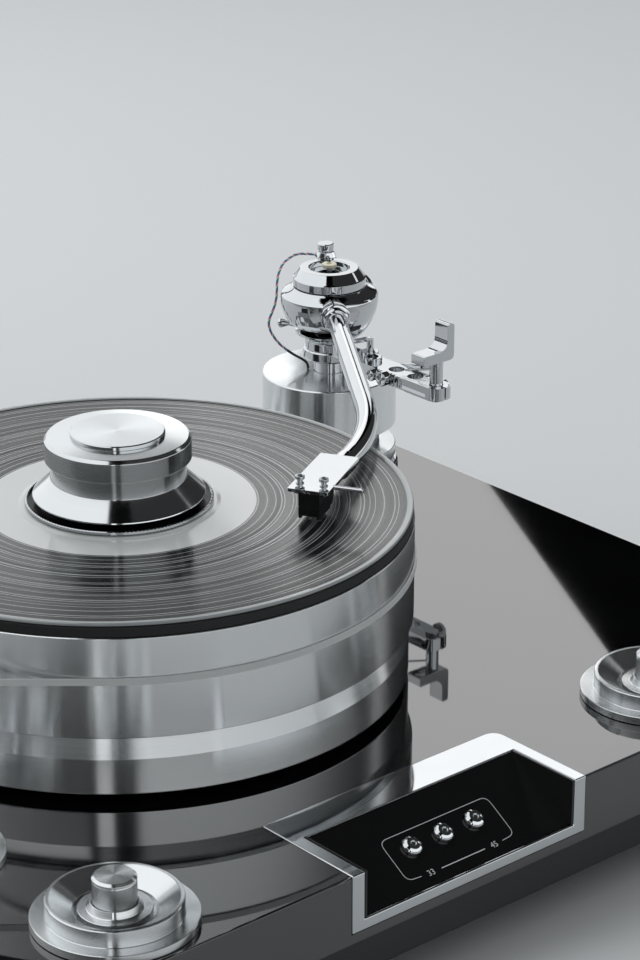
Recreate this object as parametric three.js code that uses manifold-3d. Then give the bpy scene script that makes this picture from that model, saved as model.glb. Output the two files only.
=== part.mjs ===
// Belt-drive turntable with a tall metal platter, a corner control panel and a 12-inch arm on a round pod.
// Lengths are millimetres and +Z is up. While the pieces are built, x = y = 0 is the platter's axis and
// z = 0 is the top of the plinth. At the end the whole is moved, so that its origin is the middle of its
// footprint.
import * as THREE from "three";
import { mergeVertices } from "three/addons/utils/BufferGeometryUtils.js";
import Module from "manifold-3d";

const wasm = await Module();
wasm.setup();

// Fits and tool lengths
const fit = 0.3;
const overrun = 6;
const weldDistance = 0.0001;

// Sides of round pieces
const platterSides = 64;
const largeSides = 32;
const middleSides = 24;
const smallSides = 14;
const tinySides = 10;
const cornerSteps = 3;
const bendSteps = 10;

// Plinth, measured from the platter's axis
const plinthLeft = 295;
const plinthRight = 323.2;
const plinthFront = 243.2;
const plinthBack = 246.8;
const plinthThickness = 36;
const plinthCorner = 8;
const plinthChamfer = 1;

// Lower chassis, bottom cover and feet
const chassisInset = 4;
const chassisHeight = 20;
const coverInset = 5;
const coverThickness = 3;
const footInset = 58;
const footHeight = 18;
const footTopRadius = 20;
const footBaseRadius = 25;
const footWaistRadius = 17;
const footBandHeight = 5;
const footChamfer = 1.2;

// Circuit board in its pocket under the control panel
const boardLength = 56;
const boardWidth = 38;
const boardThickness = 1.6;
const boardPocketDepth = 13;
const boardChipLength = 22;
const boardChipWidth = 16;
const boardChipHeight = 8;
const boardSetback = 34;

// Rear socket plate
const socketPlateWidth = 78;
const socketPlateHeight = 16;
const socketPlateThickness = 2.5;
const socketPlateX = 170;
const inletWidth = 27;
const inletHeight = 11;
const inletOffset = 18;
const jackRadius = 4;
const jackOffset = 22;

// Control panel and its frame
const frameLeft = 55.5;
const frameWidth = 152;
const frameDepth = 64.1;
const frameHeight = 30;
const frameProud = 0.5;
const frameSideBorder = 7.6;
const frameLedge = 21.7;
const frameCorner = 8;
const lipHeight = 5.8;
const lipThickness = 2;
const panelThickness = 2;
const cheekThickness = 1.2;

// Push buttons
const buttonRadius = 5.1;
const buttonRise = 1.8;
const domeRise = 1.7;
const domeShoulderInset = 0.95;
const domeShoulderRise = 0.935;
const domeCrownRadius = 2.6;
const dimpleRadius = 1.3;
const dimpleDepth = 0.6;
const buttonDepth = 3.6;
const buttonTravel = 1.2;
const buttonPitch = 20.35;
const buttonDownSlope = 25.7;

// Adjuster caps and knobs
const capFlangeRadius = 38.6;
const capFlangeTop = 4.4;
const capRimRadius = 31.4;
const capRimTop = 12.4;
const capRimWidth = 1.6;
const capWellRadius = 18.9;
const capConeFoot = 6.2;
const capWellFloor = 4.8;
const capSeatRadius = 12.9;
const capSeatTop = 8;
const capSpigotRadius = 12;
const capSpigotDepth = 14;
const knobRadius = 10.25;
const knobTop = 23.4;
const knobChamfer = 1.1;
const knobStemRadius = 4;
const knobStemDepth = 10;
const cornerCapSideInset = 134.5;
const cornerCapEndInset = 40.7;
const sideCapSideInset = 101.6;
const sideCapEndInset = 144.1;

// Main bearing and spindle
const bearingBodyRadius = 22;
const bearingDepth = 50;
const bearingFlangeRadius = 45;
const bearingFlangeTop = 3.2;
const bearingFloor = 6;
const thrustBallRadius = 4;
const shaftRadius = 9;
const hubRadius = 32;
const hubHeight = 6.4;
const hubNeckRadius = 12;
const spindleRadius = 3.55;
const spindleRise = 16;
const spindleTip = 1.4;

// Platter, mat and record
const platterGap = 4.7;
const lowerRadius = 149;
const lowerEdgeTop = 23.4;
const lowerTopRadius = 146.6;
const lowerTop = 35.5;
const upperRadius = 151.5;
const upperTop = 88.3;
const upperChamfer = 2;
const recordOverhang = 1.3;
const matThickness = 5.2;
const matChamfer = 0.8;
const recordRadius = 150.8;
const recordThickness = 1.75;
const recordGrooveDepth = 0.5;
const recordBead = 4.2;
const recordEdge = 0.45;
const labelRadius = 50;
const labelSlope = 2;

// Record clamp, heights measured from the record
const clampFlangeRadius = 48.6;
const clampFlangeHeight = 2.1;
const clampGrooveRadius = 41.5;
const clampGrooveHeight = 1.7;
const clampConeRadius = 44.4;
const clampConeRise = 9.7;
const clampNeckRadius = 34.9;
const clampNeckHeight = 9;
const clampCapRadius = 37.65;
const clampCapHeight = 11.1;
const clampCapChamfer = 0.8;
const clampDiscRadius = 24.2;
const clampDiscHeight = 4;
const clampLipWidth = 1.4;

// Motor, pulley and belt
const motorX = -250;
const motorY = 40;
const housingRadius = 36;
const housingHeight = 52;
const housingWall = 3;
const housingShaftHole = 6;
const housingChamfer = 1.5;
const motorRadius = 27;
const motorHeight = 44;
const motorBossRadius = 9;
const motorBossHeight = 2.4;
const pulleyRadius = 18;
const pulleyFlange = 1.8;
const pulleyFlangeThickness = 1.6;
const pulleyHeight = 18;
const pulleyClearance = 5;
const pulleyShaftRadius = 3;
const pulleyShaftDepth = 20;
const beltHeight = 3.4;
const beltThickness = 0.9;
const beltBelowTop = 20.4;

// Tonearm pod
const pivotX = 272;
const pivotY = 148;
const podRingRadius = 42;
const podRingHeight = 5;
const podRingChamfer = 1;
const podSpigotRadius = 18;
const podSpigotDepth = 25;
const podGrooveRadius = 37;
const podDiscBottom = 8;
const podDiscRadius = 40;
const podDiscTop = 15;
const podNeckRadius = 33;
const podDrumBottom = 26;
const podDrumRadius = 40.4;
const podTop = 61;
const podChamfer = 0.7;

// Pillar, from its top down to the part that stands in the pod
const pillarRadius = 9.2;
const pillarDepth = 18;
const pillarSkirtHeight = 3.9;
const pillarCollarRadius = 15.4;
const pillarRingRadius = 16.7;
const pillarCollarHeight = 4.9;
const pillarRingHeight = 1.1;
const pillarFlareHeight = 4.2;
const pillarFlareRadius = 18.2;
const pillarNeckHeight = 3.2;
const pillarNeckRadius = 8;
const pillarNeckClearance = 1;
const pivotPinRadius = 3.5;
const pivotPinDrop = 3;

// Lock ring with its ball lever
const lockRingRadius = 20.5;
const lockRingThickness = 1.5;
const lockLeverRadius = 0.8;
const lockLeverReach = 29.5;
const lockLeverRise = 1.2;
const lockBallRadius = 2.4;
const lockLeverAngle = THREE.MathUtils.degToRad(122.3);

// Yoke: it turns on the pivot pin, and its trunnions carry the bowl
const yokeRadius = 6.5;
const yokeRise = 5.4;
const yokeStemRadius = 3.2;
const yokeStemHeight = 6.5;
const washerRadius = 5.2;
const washerThickness = 1.8;
const trunnionRise = 3;
const trunnionRadius = 1.5;
const trunnionReach = 13.5;

// Bearing bowl, cap and counterweight stub
const bowlDrop = 15.4;
const bowlBottomRadius = 19;
const bowlBellyRise = 3.8;
const bowlBellyRadius = 25;
const bowlWaistRise = 9.2;
const bowlWaistRadius = 28.2;
const bowlRadius = 29.4;
const bowlWallRise = 15.9;
const bowlRimRise = 21.7;
const bowlShoulderRadius = 22.4;
const bowlHeight = 25.4;
const bowlBore = 8.5;
const bossRadius = 12.5;
const bossReach = 31.5;
const capBandRadius = 21.8;
const capBandHeight = 5.5;
const capConeHeight = 5.2;
const capTopRadius = 17.4;
const capRecessRadius = 13.2;
const capRecessFloorRadius = 12.2;
const capRecessFloor = 2.2;
const stubRadius = 4;
const stubDrop = 4;
const stubReach = 70;

// Arm tube: straight from the bowl to the bend, then on to the headshell
const armAngle = THREE.MathUtils.degToRad(235.1);
const tubeRadius = 5.75;
const tubeClimb = 3.2;
const tubeEndClimb = 2.4;
const tubeEndDrop = 3.4;
const tubeBendStretch = 217;
const tubeBendReach = 42;
const tubeForward = 60.6;
const bendAngle = THREE.MathUtils.degToRad(24.5);
const tubeRingRadius = 9.6;
const tubeRingLength = 3.2;
const tubeCollarRadius = 8;
const tubeCollarLength = 3.6;
const ferruleRadius = 6.6;
const ferruleLength = 5;

// Headshell, cartridge and stylus
const headshellLength = 51.1;
const headshellBackWidth = 19;
const headshellFrontWidth = 20.6;
const headshellThickness = 1.8;
const stylusDrop = 1.05;
const headshellSocketRadius = 5;
const headshellSocketLength = 7;
const headshellSocketGrip = 4;
const screwSpacing = 12.7;
const screwFromFront = 8.4;
const screwHeadRadius = 2.4;
const screwHeadHeight = 1.5;
const screwRadius = 1.2;
const screwDepth = 5.5;
const cartridgeWidth = 17;
const cartridgeLength = 27;
const cartridgeHeight = 13.2;
const cartridgeSetback = 1.6;
const cartridgeNose = 6.5;
const cartridgeNoseDrop = 7;
const stylusHolderWidth = 6;
const stylusHolderLength = 11;
const stylusHolderHeight = 1.2;
const stylusHolderSetback = 9;
const cantileverWidth = 0.9;
const cantileverThickness = 0.5;
const cantileverLength = 7;
const stylusTipLength = 0.7;
const fingerLiftRadius = 0.95;
const fingerLiftLength = 16;
const fingerLiftSetback = 13;
const fingerLiftPad = 1.3;

// Counterweight, hung low on its stub
const weightRadius = 18;
const weightLength = 28;
const weightDrop = 11.5;
const weightReach = 49;
const weightChamfer = 1.4;

// Bracket that carries the lift, the cue lever and the arm rest
const bracketX = 262;
const bracketWidth = 15.5;
const bracketThickness = 7.7;
const bracketDrop = 2.4;
const bracketHoleRadius = 4.75;
const bracketHoleFirst = 76.7;
const bracketHolePitch = 16;
const bracketPocketLength = 17;
const bracketPocketBorder = 1.3;
const bracketPocketDepth = 3;
const bracketPocketStart = 51;
const liftBossRadius = 5.2;
const liftBossRise = 2.2;

// Thumb screw that clamps the rest's post
const restScrewY = 47;
const restScrewRise = 2.4;
const restScrewRadius = 5.1;
const restScrewThickness = 2.6;
const restScrewStemRadius = 1.6;
const restScrewStemLength = 4.5;

// Arm rest
const restPostY = 43;
const restPostRadius = 3.9;
const restPostDrop = 2;
const restDepth = 11;
const restRight = 270.7;
const restLength = 23.4;
const restShelfThickness = 6.1;
const restShelfDrop = 0.8;
const restPaddleHeight = 15.6;
const restPaddle = 4.7;
const restFillet = 6;
const restChamfer = 1;

// Cue lever and lift platform
const cueY = 87;
const cueRise = 3.9;
const cueShaftRadius = 1.6;
const cueHubRadius = 3.6;
const cueHubLength = 4;
const cueArmThickness = 2.2;
const cueArmLength = 23;
const cueArmRise = 6.4;
const cueArmRadius = 2.7;
const cueTipRadius = 1.7;
const cuePadLength = 5;
const liftReach = 42;
const liftWidth = 4;
const liftThickness = 1.8;
const liftGap = 5.45;
const liftPostRadius = 2;
const liftPostDepth = 18;
const liftStart = THREE.MathUtils.degToRad(222);
const liftEnd = THREE.MathUtils.degToRad(264);

// Post that holds the upper end of the tonearm lead
const postRodRadius = 1.9;
const postReach = 33.7;
const postBaseDrop = 1.6;
const postShoulderDrop = 1;
const postTurn = THREE.MathUtils.degToRad(53.7);
const postLeanStart = THREE.MathUtils.degToRad(8.95);
const postLeanRise = 6.53;
const postHeadReach = 27;
const postHeadRadius = 6;
const postHeadRise = 8.6;
const postHeadThickness = 2.8;
const postKnobRadius = 5.3;
const postKnobHeight = 6;
const postKnobChamfer = 0.5;

// Tonearm lead, from the post's head round the left of the bowl to the pod's top, measured from the
// arm's pivot
const leadRadius = 0.8;
const leadSides = 8;
const leadSteps = 48;
const leadRoute = [
  [11.3, 25.9, 125], [5, 30.1, 125.7], [0, 30.8, 126], [-7, 29, 125.6], [-13, 27, 124.3], [-17, 25.2, 122],
  [-20, 23.7, 119], [-22, 22.4, 115], [-23.2, 21.2, 111], [-24.2, 20.6, 106.5], [-25.4, 20.5, 102.5],
  [-27, 20.9, 98.5], [-28.3, 21.8, 94.5], [-28.8, 22.2, 91], [-28.1, 21.7, 86.5], [-26.3, 20.2, 82],
  [-23.4, 18.4, 77.5], [-19.5, 16.4, 73.4], [-15.3, 14, 69.8], [-11.6, 11.3, 67], [-9.6, 9.6, 64.6],
  [-9, 9, 61.3],
];

// Finishes
const finish = (color, metalness, roughness) =>
  new THREE.MeshStandardMaterial({ color, metalness, roughness });
const lacquer = finish(0x060708, 0, 0.08);
const blackMetal = finish(0x17181a, 0.4, 0.5);
const chrome = finish(0xd4d8da, 1, 0.07);
const satinSteel = finish(0xc4c8ca, 1, 0.28);
const spunAluminium = finish(0xc9cdcf, 1, 0.24);
const panelBlack = finish(0x121314, 0, 0.6);
const matBlack = finish(0x0c0d0e, 0, 0.55);
const vinyl = finish(0x0e0f10, 0, 0.25);
const boardGreen = finish(0x1f4a35, 0, 0.6);
const beltGrey = finish(0xb9bdc0, 0, 0.5);
const cartridgeBlack = finish(0x101113, 0, 0.35);
const leadCover = finish(0x9a5a64, 0, 0.6);

const deck = new THREE.Group();

// Solid operations

function solidOf(geometry) {
  const bare = geometry.clone();
  bare.deleteAttribute("normal");
  bare.deleteAttribute("uv");
  const merged = mergeVertices(bare, weldDistance);
  const corners = merged.index.array;
  const kept = [];
  for (let i = 0; i < corners.length; i += 3) {
    const [a, b, c] = [corners[i], corners[i + 1], corners[i + 2]];
    if (a !== b && b !== c && c !== a) kept.push(a, b, c);
  }
  const vertProperties = new Float32Array(merged.attributes.position.array);
  const triVerts = Uint32Array.from(kept);
  return new wasm.Manifold(new wasm.Mesh({ numProp: 3, vertProperties, triVerts }));
}

function geometryOf(solid) {
  const mesh = solid.getMesh();
  const corners = new Float32Array(mesh.vertProperties);
  const geometry = new THREE.BufferGeometry();
  geometry.setAttribute("position", new THREE.BufferAttribute(corners, 3));
  geometry.setIndex(new THREE.BufferAttribute(new Uint32Array(mesh.triVerts), 1));
  geometry.computeVertexNormals();
  return geometry;
}

const cut = (geometry, ...tools) =>
  geometryOf(tools.reduce((solid, tool) => solid.subtract(solidOf(tool)), solidOf(geometry)));

const join = (geometry, ...more) =>
  geometryOf(more.reduce((solid, piece) => solid.add(solidOf(piece)), solidOf(geometry)));

// Shape makers

// A profile of [radius, height] corners, in either direction, turned about the z axis.
function turned(profile, sides) {
  const twiceArea = profile.reduce((sum, [r, z], i) => {
    const [nextR, nextZ] = profile[(i + 1) % profile.length];
    return sum + r * nextZ - nextR * z;
  }, 0);
  const ordered = twiceArea > 0 ? [...profile] : [...profile].reverse();
  if (ordered[0][0] > 0 || ordered.at(-1)[0] > 0) ordered.push(ordered[0]);
  const points = ordered.map(([r, z]) => new THREE.Vector2(r, z));
  return new THREE.LatheGeometry(points, sides).rotateX(Math.PI / 2);
}

const rod = (radius, bottom, top, sides) =>
  turned([[0, bottom], [radius, bottom], [radius, top], [0, top]], sides);

// A round bar along +x, from one x to another, on the axis y, z.
const barAlongX = (radius, from, to, y, z, sides) =>
  rod(radius, from, to, sides).rotateY(Math.PI / 2).translate(0, y, z);

// A round bar along +y, from one y to another, on the axis x, z.
const barAlongY = (radius, from, to, x, z, sides) =>
  rod(radius, from, to, sides).rotateX(-Math.PI / 2).translate(x, 0, z);

function block(left, right, front, back, bottom, top) {
  const box = new THREE.BoxGeometry(right - left, back - front, top - bottom);
  return box.translate((left + right) / 2, (front + back) / 2, (bottom + top) / 2);
}

const outline = (points) => new THREE.Shape(points.map(([a, b]) => new THREE.Vector2(a, b)));

// A rectangle with a radius for each corner: front left, front right, back right, back left.
function rectangle(left, right, front, back, radii) {
  const [a, b, c, d] = radii;
  const shape = new THREE.Shape();
  shape.moveTo(left + a, front);
  shape.lineTo(right - b, front);
  if (b > 0) shape.absarc(right - b, front + b, b, -Math.PI / 2, 0);
  shape.lineTo(right, back - c);
  if (c > 0) shape.absarc(right - c, back - c, c, 0, Math.PI / 2);
  shape.lineTo(left + d, back);
  if (d > 0) shape.absarc(left + d, back - d, d, Math.PI / 2, Math.PI);
  shape.lineTo(left, front + a);
  if (a > 0) shape.absarc(left + a, front + a, a, -Math.PI, -Math.PI / 2);
  return shape;
}

// A plan outline raised from bottom to top, with an optional chamfer on its upper and lower edges.
function raised(shape, bottom, top, chamfer = 0) {
  const geometry = new THREE.ExtrudeGeometry(shape, {
    depth: top - bottom - 2 * chamfer,
    bevelEnabled: chamfer > 0,
    bevelThickness: chamfer,
    bevelSize: chamfer,
    bevelOffset: -chamfer,
    bevelSegments: 1,
    curveSegments: cornerSteps,
  });
  return geometry.translate(0, 0, bottom + chamfer);
}

// A profile of [y, z] corners drawn along x.
function acrossX(profile, from, to) {
  const geometry = new THREE.ExtrudeGeometry(outline(profile), { depth: to - from, bevelEnabled: false });
  const turn = new THREE.Matrix4().makeBasis(
    new THREE.Vector3(0, 1, 0),
    new THREE.Vector3(0, 0, 1),
    new THREE.Vector3(1, 0, 0),
  );
  return geometry.applyMatrix4(turn).translate(from, 0, 0);
}

// An outline in x and z drawn along y.
function acrossY(shape, from, to) {
  const geometry = new THREE.ExtrudeGeometry(shape, {
    depth: to - from,
    bevelEnabled: false,
    curveSegments: cornerSteps,
  });
  return geometry.rotateX(Math.PI / 2).translate(0, to, 0);
}

function circle(radius, sides) {
  const corners = Array.from({ length: sides }, (_, i) => (2 * Math.PI * i) / sides);
  return outline(corners.map((angle) => [radius * Math.cos(angle), radius * Math.sin(angle)]));
}

// A tube along a curve.
function tube(curve, radius, sides, steps) {
  return new THREE.ExtrudeGeometry(circle(radius, sides), { extrudePath: curve, steps, bevelEnabled: false });
}

function add(parent, name, geometry, material, x = 0, y = 0, z = 0) {
  const mesh = new THREE.Mesh(geometry, material);
  mesh.name = name;
  mesh.position.set(x, y, z);
  parent.add(mesh);
  return mesh;
}

const polar = (distance, angle, height) =>
  new THREE.Vector3(distance * Math.cos(angle), distance * Math.sin(angle), height);

// Places shared by several pieces
const chassisTop = -plinthThickness - fit;
const chassisBottom = chassisTop - chassisHeight;
const coverTop = chassisBottom - fit;
const coverBottom = coverTop - coverThickness;
const frameRight = frameWidth - frameLeft;
const frameBack = frameDepth - plinthFront;
const frameFace = -plinthFront - frameProud;
const ledgeEdge = frameBack - frameLedge;
const slopeTop = frameProud;
const slopeFoot = lipHeight - frameHeight;
const slopeFootY = frameFace + lipThickness;
const slopeAngle = Math.atan2(slopeTop - slopeFoot, ledgeEdge - slopeFootY);
const capPlaces = {
  front_left: [cornerCapSideInset - plinthLeft, cornerCapEndInset - plinthFront],
  front_right: [plinthRight - cornerCapSideInset, cornerCapEndInset - plinthFront],
  side: [sideCapSideInset - plinthLeft, sideCapEndInset - plinthFront],
  back_left: [cornerCapSideInset - plinthLeft, plinthBack - cornerCapEndInset],
  back_right: [plinthRight - cornerCapSideInset, plinthBack - cornerCapEndInset],
};
const hubBottom = bearingFlangeTop + (platterGap - bearingFlangeTop) / 2 + fit;
const matRadius = recordRadius - recordOverhang;
const matBottom = upperTop + fit;
const matTop = matBottom + matThickness;
const recordBottom = matTop + fit;
const recordTop = recordBottom + recordThickness;
const beltTop = upperTop - beltBelowTop;
const beltBottom = beltTop - beltHeight;
const pulleyBottom = housingHeight + pulleyClearance;

// Heights of the tonearm, which follow from the stylus that stands just over the record
const headshellTop =
  recordTop + 3 * fit + stylusDrop + stylusHolderHeight + cartridgeHeight + headshellThickness;
const tubeEndHeight = headshellTop - tubeEndDrop;
const tubeBendHeight = tubeEndHeight - tubeEndClimb;
const tubeStartHeight = tubeBendHeight - tubeClimb;
const trunnionHeight = tubeStartHeight + trunnionRise;
const stubHeight = tubeStartHeight - stubDrop;
const bowlBottom = tubeStartHeight - bowlDrop;
const bowlBelly = bowlBottom + bowlBellyRise;
const bowlWaist = bowlBottom + bowlWaistRise;
const bowlWallTop = bowlBottom + bowlWallRise;
const bowlRimTop = bowlBottom + bowlRimRise;
const bowlTop = bowlBottom + bowlHeight;
const yokeBottom = bowlBottom + yokeRise;
const yokeStemTop = bowlTop + yokeStemHeight;
const pivotPinTop = bowlTop - pivotPinDrop;
const pillarNeckTop = bowlBottom - pillarNeckClearance;
const pillarTop = pillarNeckTop - pillarNeckHeight;
const pillarFlareBottom = pillarTop - pillarFlareHeight;
const pillarRingBottom = pillarFlareBottom - pillarCollarHeight;
const pillarHeadBottom = pillarRingBottom - pillarSkirtHeight;
const bracketTop = pillarTop - bracketDrop;
const bracketBottom = bracketTop - bracketThickness;
const restScrewHeight = bracketBottom + restScrewRise;
const cueHeight = bracketBottom + cueRise;
const restShelf = tubeStartHeight - restShelfDrop;
const restBottom = restShelf - restShelfThickness;
const restTop = restShelf + restPaddleHeight;
const liftTop = tubeStartHeight - tubeRadius - liftGap;
const postBaseHeight = pillarFlareBottom - postBaseDrop;
const postShoulder = tubeStartHeight - postShoulderDrop;
const postHeadBottom = bowlTop + postHeadRise;
const postHeadTop = postHeadBottom + postHeadThickness;
const postKnobTop = postHeadTop + postKnobHeight;

// Plinth, chassis, cover and feet

function frameOutline(margin) {
  const radii = [0, 0, frameCorner + margin, 0];
  return rectangle(-frameLeft - margin, frameRight + margin, frameFace - margin, frameBack + margin, radii);
}

function addPlinth() {
  const radii = [plinthCorner, plinthCorner, plinthCorner, plinthCorner];
  const plan = rectangle(-plinthLeft, plinthRight, -plinthFront, plinthBack, radii);
  const slab = raised(plan, -plinthThickness, 0, plinthChamfer);
  const wells = Object.values(capPlaces).map(([x, y]) =>
    rod(capSpigotRadius + fit, -capSpigotDepth - fit, overrun, middleSides).translate(x, y, 0),
  );
  const plinth = cut(
    slab,
    raised(frameOutline(fit), -frameHeight - fit, overrun),
    rod(bearingBodyRadius + fit, -plinthThickness - overrun, overrun, middleSides),
    rod(podSpigotRadius + fit, -podSpigotDepth - fit, overrun, largeSides).translate(pivotX, pivotY, 0),
    ...wells,
  );
  add(deck, "plinth", plinth, lacquer);
}

function addChassis() {
  const left = chassisInset - plinthLeft;
  const right = plinthRight - chassisInset;
  const front = chassisInset - plinthFront;
  const back = plinthBack - chassisInset;
  const radii = [plinthCorner, plinthCorner, plinthCorner, plinthCorner];
  const boardX = (frameRight - frameLeft) / 2;
  const boardY = front + boardSetback;
  const socketMiddle = (chassisTop + chassisBottom) / 2;
  const pocket = block(
    boardX - boardLength / 2 - fit,
    boardX + boardLength / 2 + fit,
    boardY - boardWidth / 2 - fit,
    boardY + boardWidth / 2 + fit,
    chassisBottom - overrun,
    chassisBottom + boardPocketDepth,
  );
  const socketSeat = block(
    socketPlateX - socketPlateWidth / 2 - fit,
    socketPlateX + socketPlateWidth / 2 + fit,
    back - socketPlateThickness,
    back + overrun,
    socketMiddle - socketPlateHeight / 2 - fit,
    socketMiddle + socketPlateHeight / 2 + fit,
  );
  const chassis = cut(
    raised(rectangle(left, right, front, back, radii), chassisBottom, chassisTop, plinthChamfer),
    rod(bearingBodyRadius + fit, chassisBottom - overrun, chassisTop + overrun, middleSides),
    pocket,
    socketSeat,
  );
  add(deck, "lower_chassis", chassis, blackMetal);
  const cover = raised(
    rectangle(left + coverInset, right - coverInset, front + coverInset, back - coverInset, radii),
    coverBottom,
    coverTop,
  );
  add(deck, "bottom_cover", cover, blackMetal);

  const board = join(
    block(-boardLength / 2, boardLength / 2, -boardWidth / 2, boardWidth / 2, 0, boardThickness),
    block(
      -boardChipLength / 2,
      boardChipLength / 2,
      -boardChipWidth / 2,
      boardChipWidth / 2,
      0,
      boardChipHeight,
    ),
  );
  add(deck, "circuit_board", board, boardGreen, boardX, boardY, coverTop + fit);

  const inletX = inletOffset;
  const plate = cut(
    block(
      -socketPlateWidth / 2,
      socketPlateWidth / 2,
      fit - socketPlateThickness,
      0,
      -socketPlateHeight / 2,
      socketPlateHeight / 2,
    ),
    block(
      inletX - inletWidth / 2,
      inletX + inletWidth / 2,
      -overrun,
      overrun,
      -inletHeight / 2,
      inletHeight / 2,
    ),
    barAlongY(jackRadius, -overrun, overrun, -jackOffset, 0, tinySides),
  );
  add(deck, "rear_socket_plate", plate, satinSteel, socketPlateX, back, socketMiddle);

  const foot = turned(
    [
      [0, -footHeight],
      [footBaseRadius - footChamfer, -footHeight],
      [footBaseRadius, footChamfer - footHeight],
      [footBaseRadius, footBandHeight - footHeight],
      [footWaistRadius, footBandHeight + footChamfer - footHeight],
      [footWaistRadius, -footChamfer],
      [footTopRadius, 0],
      [0, 0],
    ],
    middleSides,
  );
  const footPlaces = {
    front_left: [footInset - plinthLeft, footInset - plinthFront],
    front_right: [plinthRight - footInset, footInset - plinthFront],
    back_left: [footInset - plinthLeft, plinthBack - footInset],
    back_right: [plinthRight - footInset, plinthBack - footInset],
  };
  for (const [place, [x, y]] of Object.entries(footPlaces))
    add(deck, "foot_" + place, foot, spunAluminium, x, y, coverBottom - fit);
}

// Control panel: a chromed frame let into the plinth's top and front, and a black insert that slopes to
// its lip

const slopeSine = Math.sin(slopeAngle);
const slopeCosine = Math.cos(slopeAngle);
const panelDrop = panelThickness / slopeCosine;
const buttonPlaceY = ledgeEdge - buttonDownSlope * slopeCosine;
const buttonPlaceZ = slopeTop - buttonDownSlope * slopeSine;

// Turns a piece from standing on z = 0 to standing on the slope, at a distance x along the panel.
const onSlope = (geometry, x) => geometry.rotateX(slopeAngle).translate(x, buttonPlaceY, buttonPlaceZ);

function addControlPanel() {
  const recessLeft = frameSideBorder - frameLeft;
  const recessRight = frameRight - frameSideBorder;
  const recess = acrossX(
    [
      [ledgeEdge, frameProud + overrun],
      [ledgeEdge, slopeTop - panelDrop - fit],
      [slopeFootY, slopeFoot - panelDrop - fit],
      [slopeFootY, slopeFoot],
      [frameFace - overrun, slopeFoot],
      [frameFace - overrun, frameProud + overrun],
    ],
    recessLeft,
    recessRight,
  );
  const buttonSpots = [0, 1, 2].map((i) => i * buttonPitch);
  const wellDepth = buttonDepth + buttonTravel + 2 * fit;
  const wells = buttonSpots.map((x) =>
    onSlope(rod(buttonRadius + 2 * fit, -wellDepth, overrun, smallSides), x),
  );
  const frame = cut(raised(frameOutline(0), -frameHeight, frameProud), recess, ...wells);
  add(deck, "panel_frame", frame, chrome);

  const back = ledgeEdge - fit;
  const foot = slopeFootY + fit;
  const slope = (y) => slopeTop - (ledgeEdge - y) * Math.tan(slopeAngle);
  const sheet = acrossX(
    [
      [back, slope(back)],
      [back, slope(back) - panelDrop],
      [foot, slope(foot) - panelDrop],
      [foot, slope(foot)],
    ],
    recessLeft + fit,
    recessRight - fit,
  );
  const cheekFront = frameFace + fit;
  const cheekProfile = [
    [back, slopeTop],
    [back, slope(back) - panelDrop / 2],
    [foot, slope(foot) - panelDrop / 2],
    [foot, slopeFoot + fit],
    [cheekFront, slopeFoot + fit],
    [cheekFront, slopeTop],
  ];
  const panel = cut(
    join(
      sheet,
      acrossX(cheekProfile, recessLeft + fit, recessLeft + fit + cheekThickness),
      acrossX(cheekProfile, recessRight - fit - cheekThickness, recessRight - fit),
    ),
    ...buttonSpots.map((x) => onSlope(rod(buttonRadius + fit, -wellDepth, overrun, smallSides), x)),
  );
  add(deck, "control_panel", panel, panelBlack);

  const button = turned(
    [
      [0, -buttonDepth],
      [buttonRadius, -buttonDepth],
      [buttonRadius, buttonRise],
      [buttonRadius - domeShoulderInset, buttonRise + domeShoulderRise],
      [domeCrownRadius, buttonRise + domeRise],
      [dimpleRadius, buttonRise + domeRise],
      [0, buttonRise + domeRise - dimpleDepth],
    ],
    smallSides,
  );
  const buttonNames = ["button_left", "button_middle", "button_right"];
  buttonSpots.forEach((x, i) => add(deck, buttonNames[i], onSlope(button.clone(), x), chrome));
}

// Adjuster caps: a spun cup let into the plinth, and a knurled knob on a stem in its middle

function addAdjusters() {
  const cup = turned(
    [
      [knobStemRadius + fit, -capSpigotDepth],
      [capSpigotRadius, -capSpigotDepth],
      [capSpigotRadius, fit],
      [capFlangeRadius, fit],
      [capFlangeRadius, capFlangeTop],
      [capRimRadius, capFlangeTop],
      [capRimRadius, capRimTop],
      [capRimRadius - capRimWidth, capRimTop],
      [capWellRadius, capConeFoot],
      [capWellRadius, capWellFloor],
      [capSeatRadius, capWellFloor],
      [capSeatRadius, capSeatTop],
      [knobStemRadius + fit, capSeatTop],
    ],
    middleSides,
  );
  const knob = turned(
    [
      [0, -knobStemDepth],
      [knobStemRadius, -knobStemDepth],
      [knobStemRadius, capSeatTop + fit],
      [knobRadius, capSeatTop + fit],
      [knobRadius, knobTop - knobChamfer],
      [knobRadius - knobChamfer, knobTop],
      [0, knobTop],
    ],
    smallSides,
  );
  for (const [place, [x, y]] of Object.entries(capPlaces)) {
    add(deck, "adjuster_cup_" + place, cup, spunAluminium, x, y);
    add(deck, "adjuster_knob_" + place, knob, spunAluminium, x, y);
  }
}

// Main bearing, platter, record and clamp, all on one axis

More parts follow.
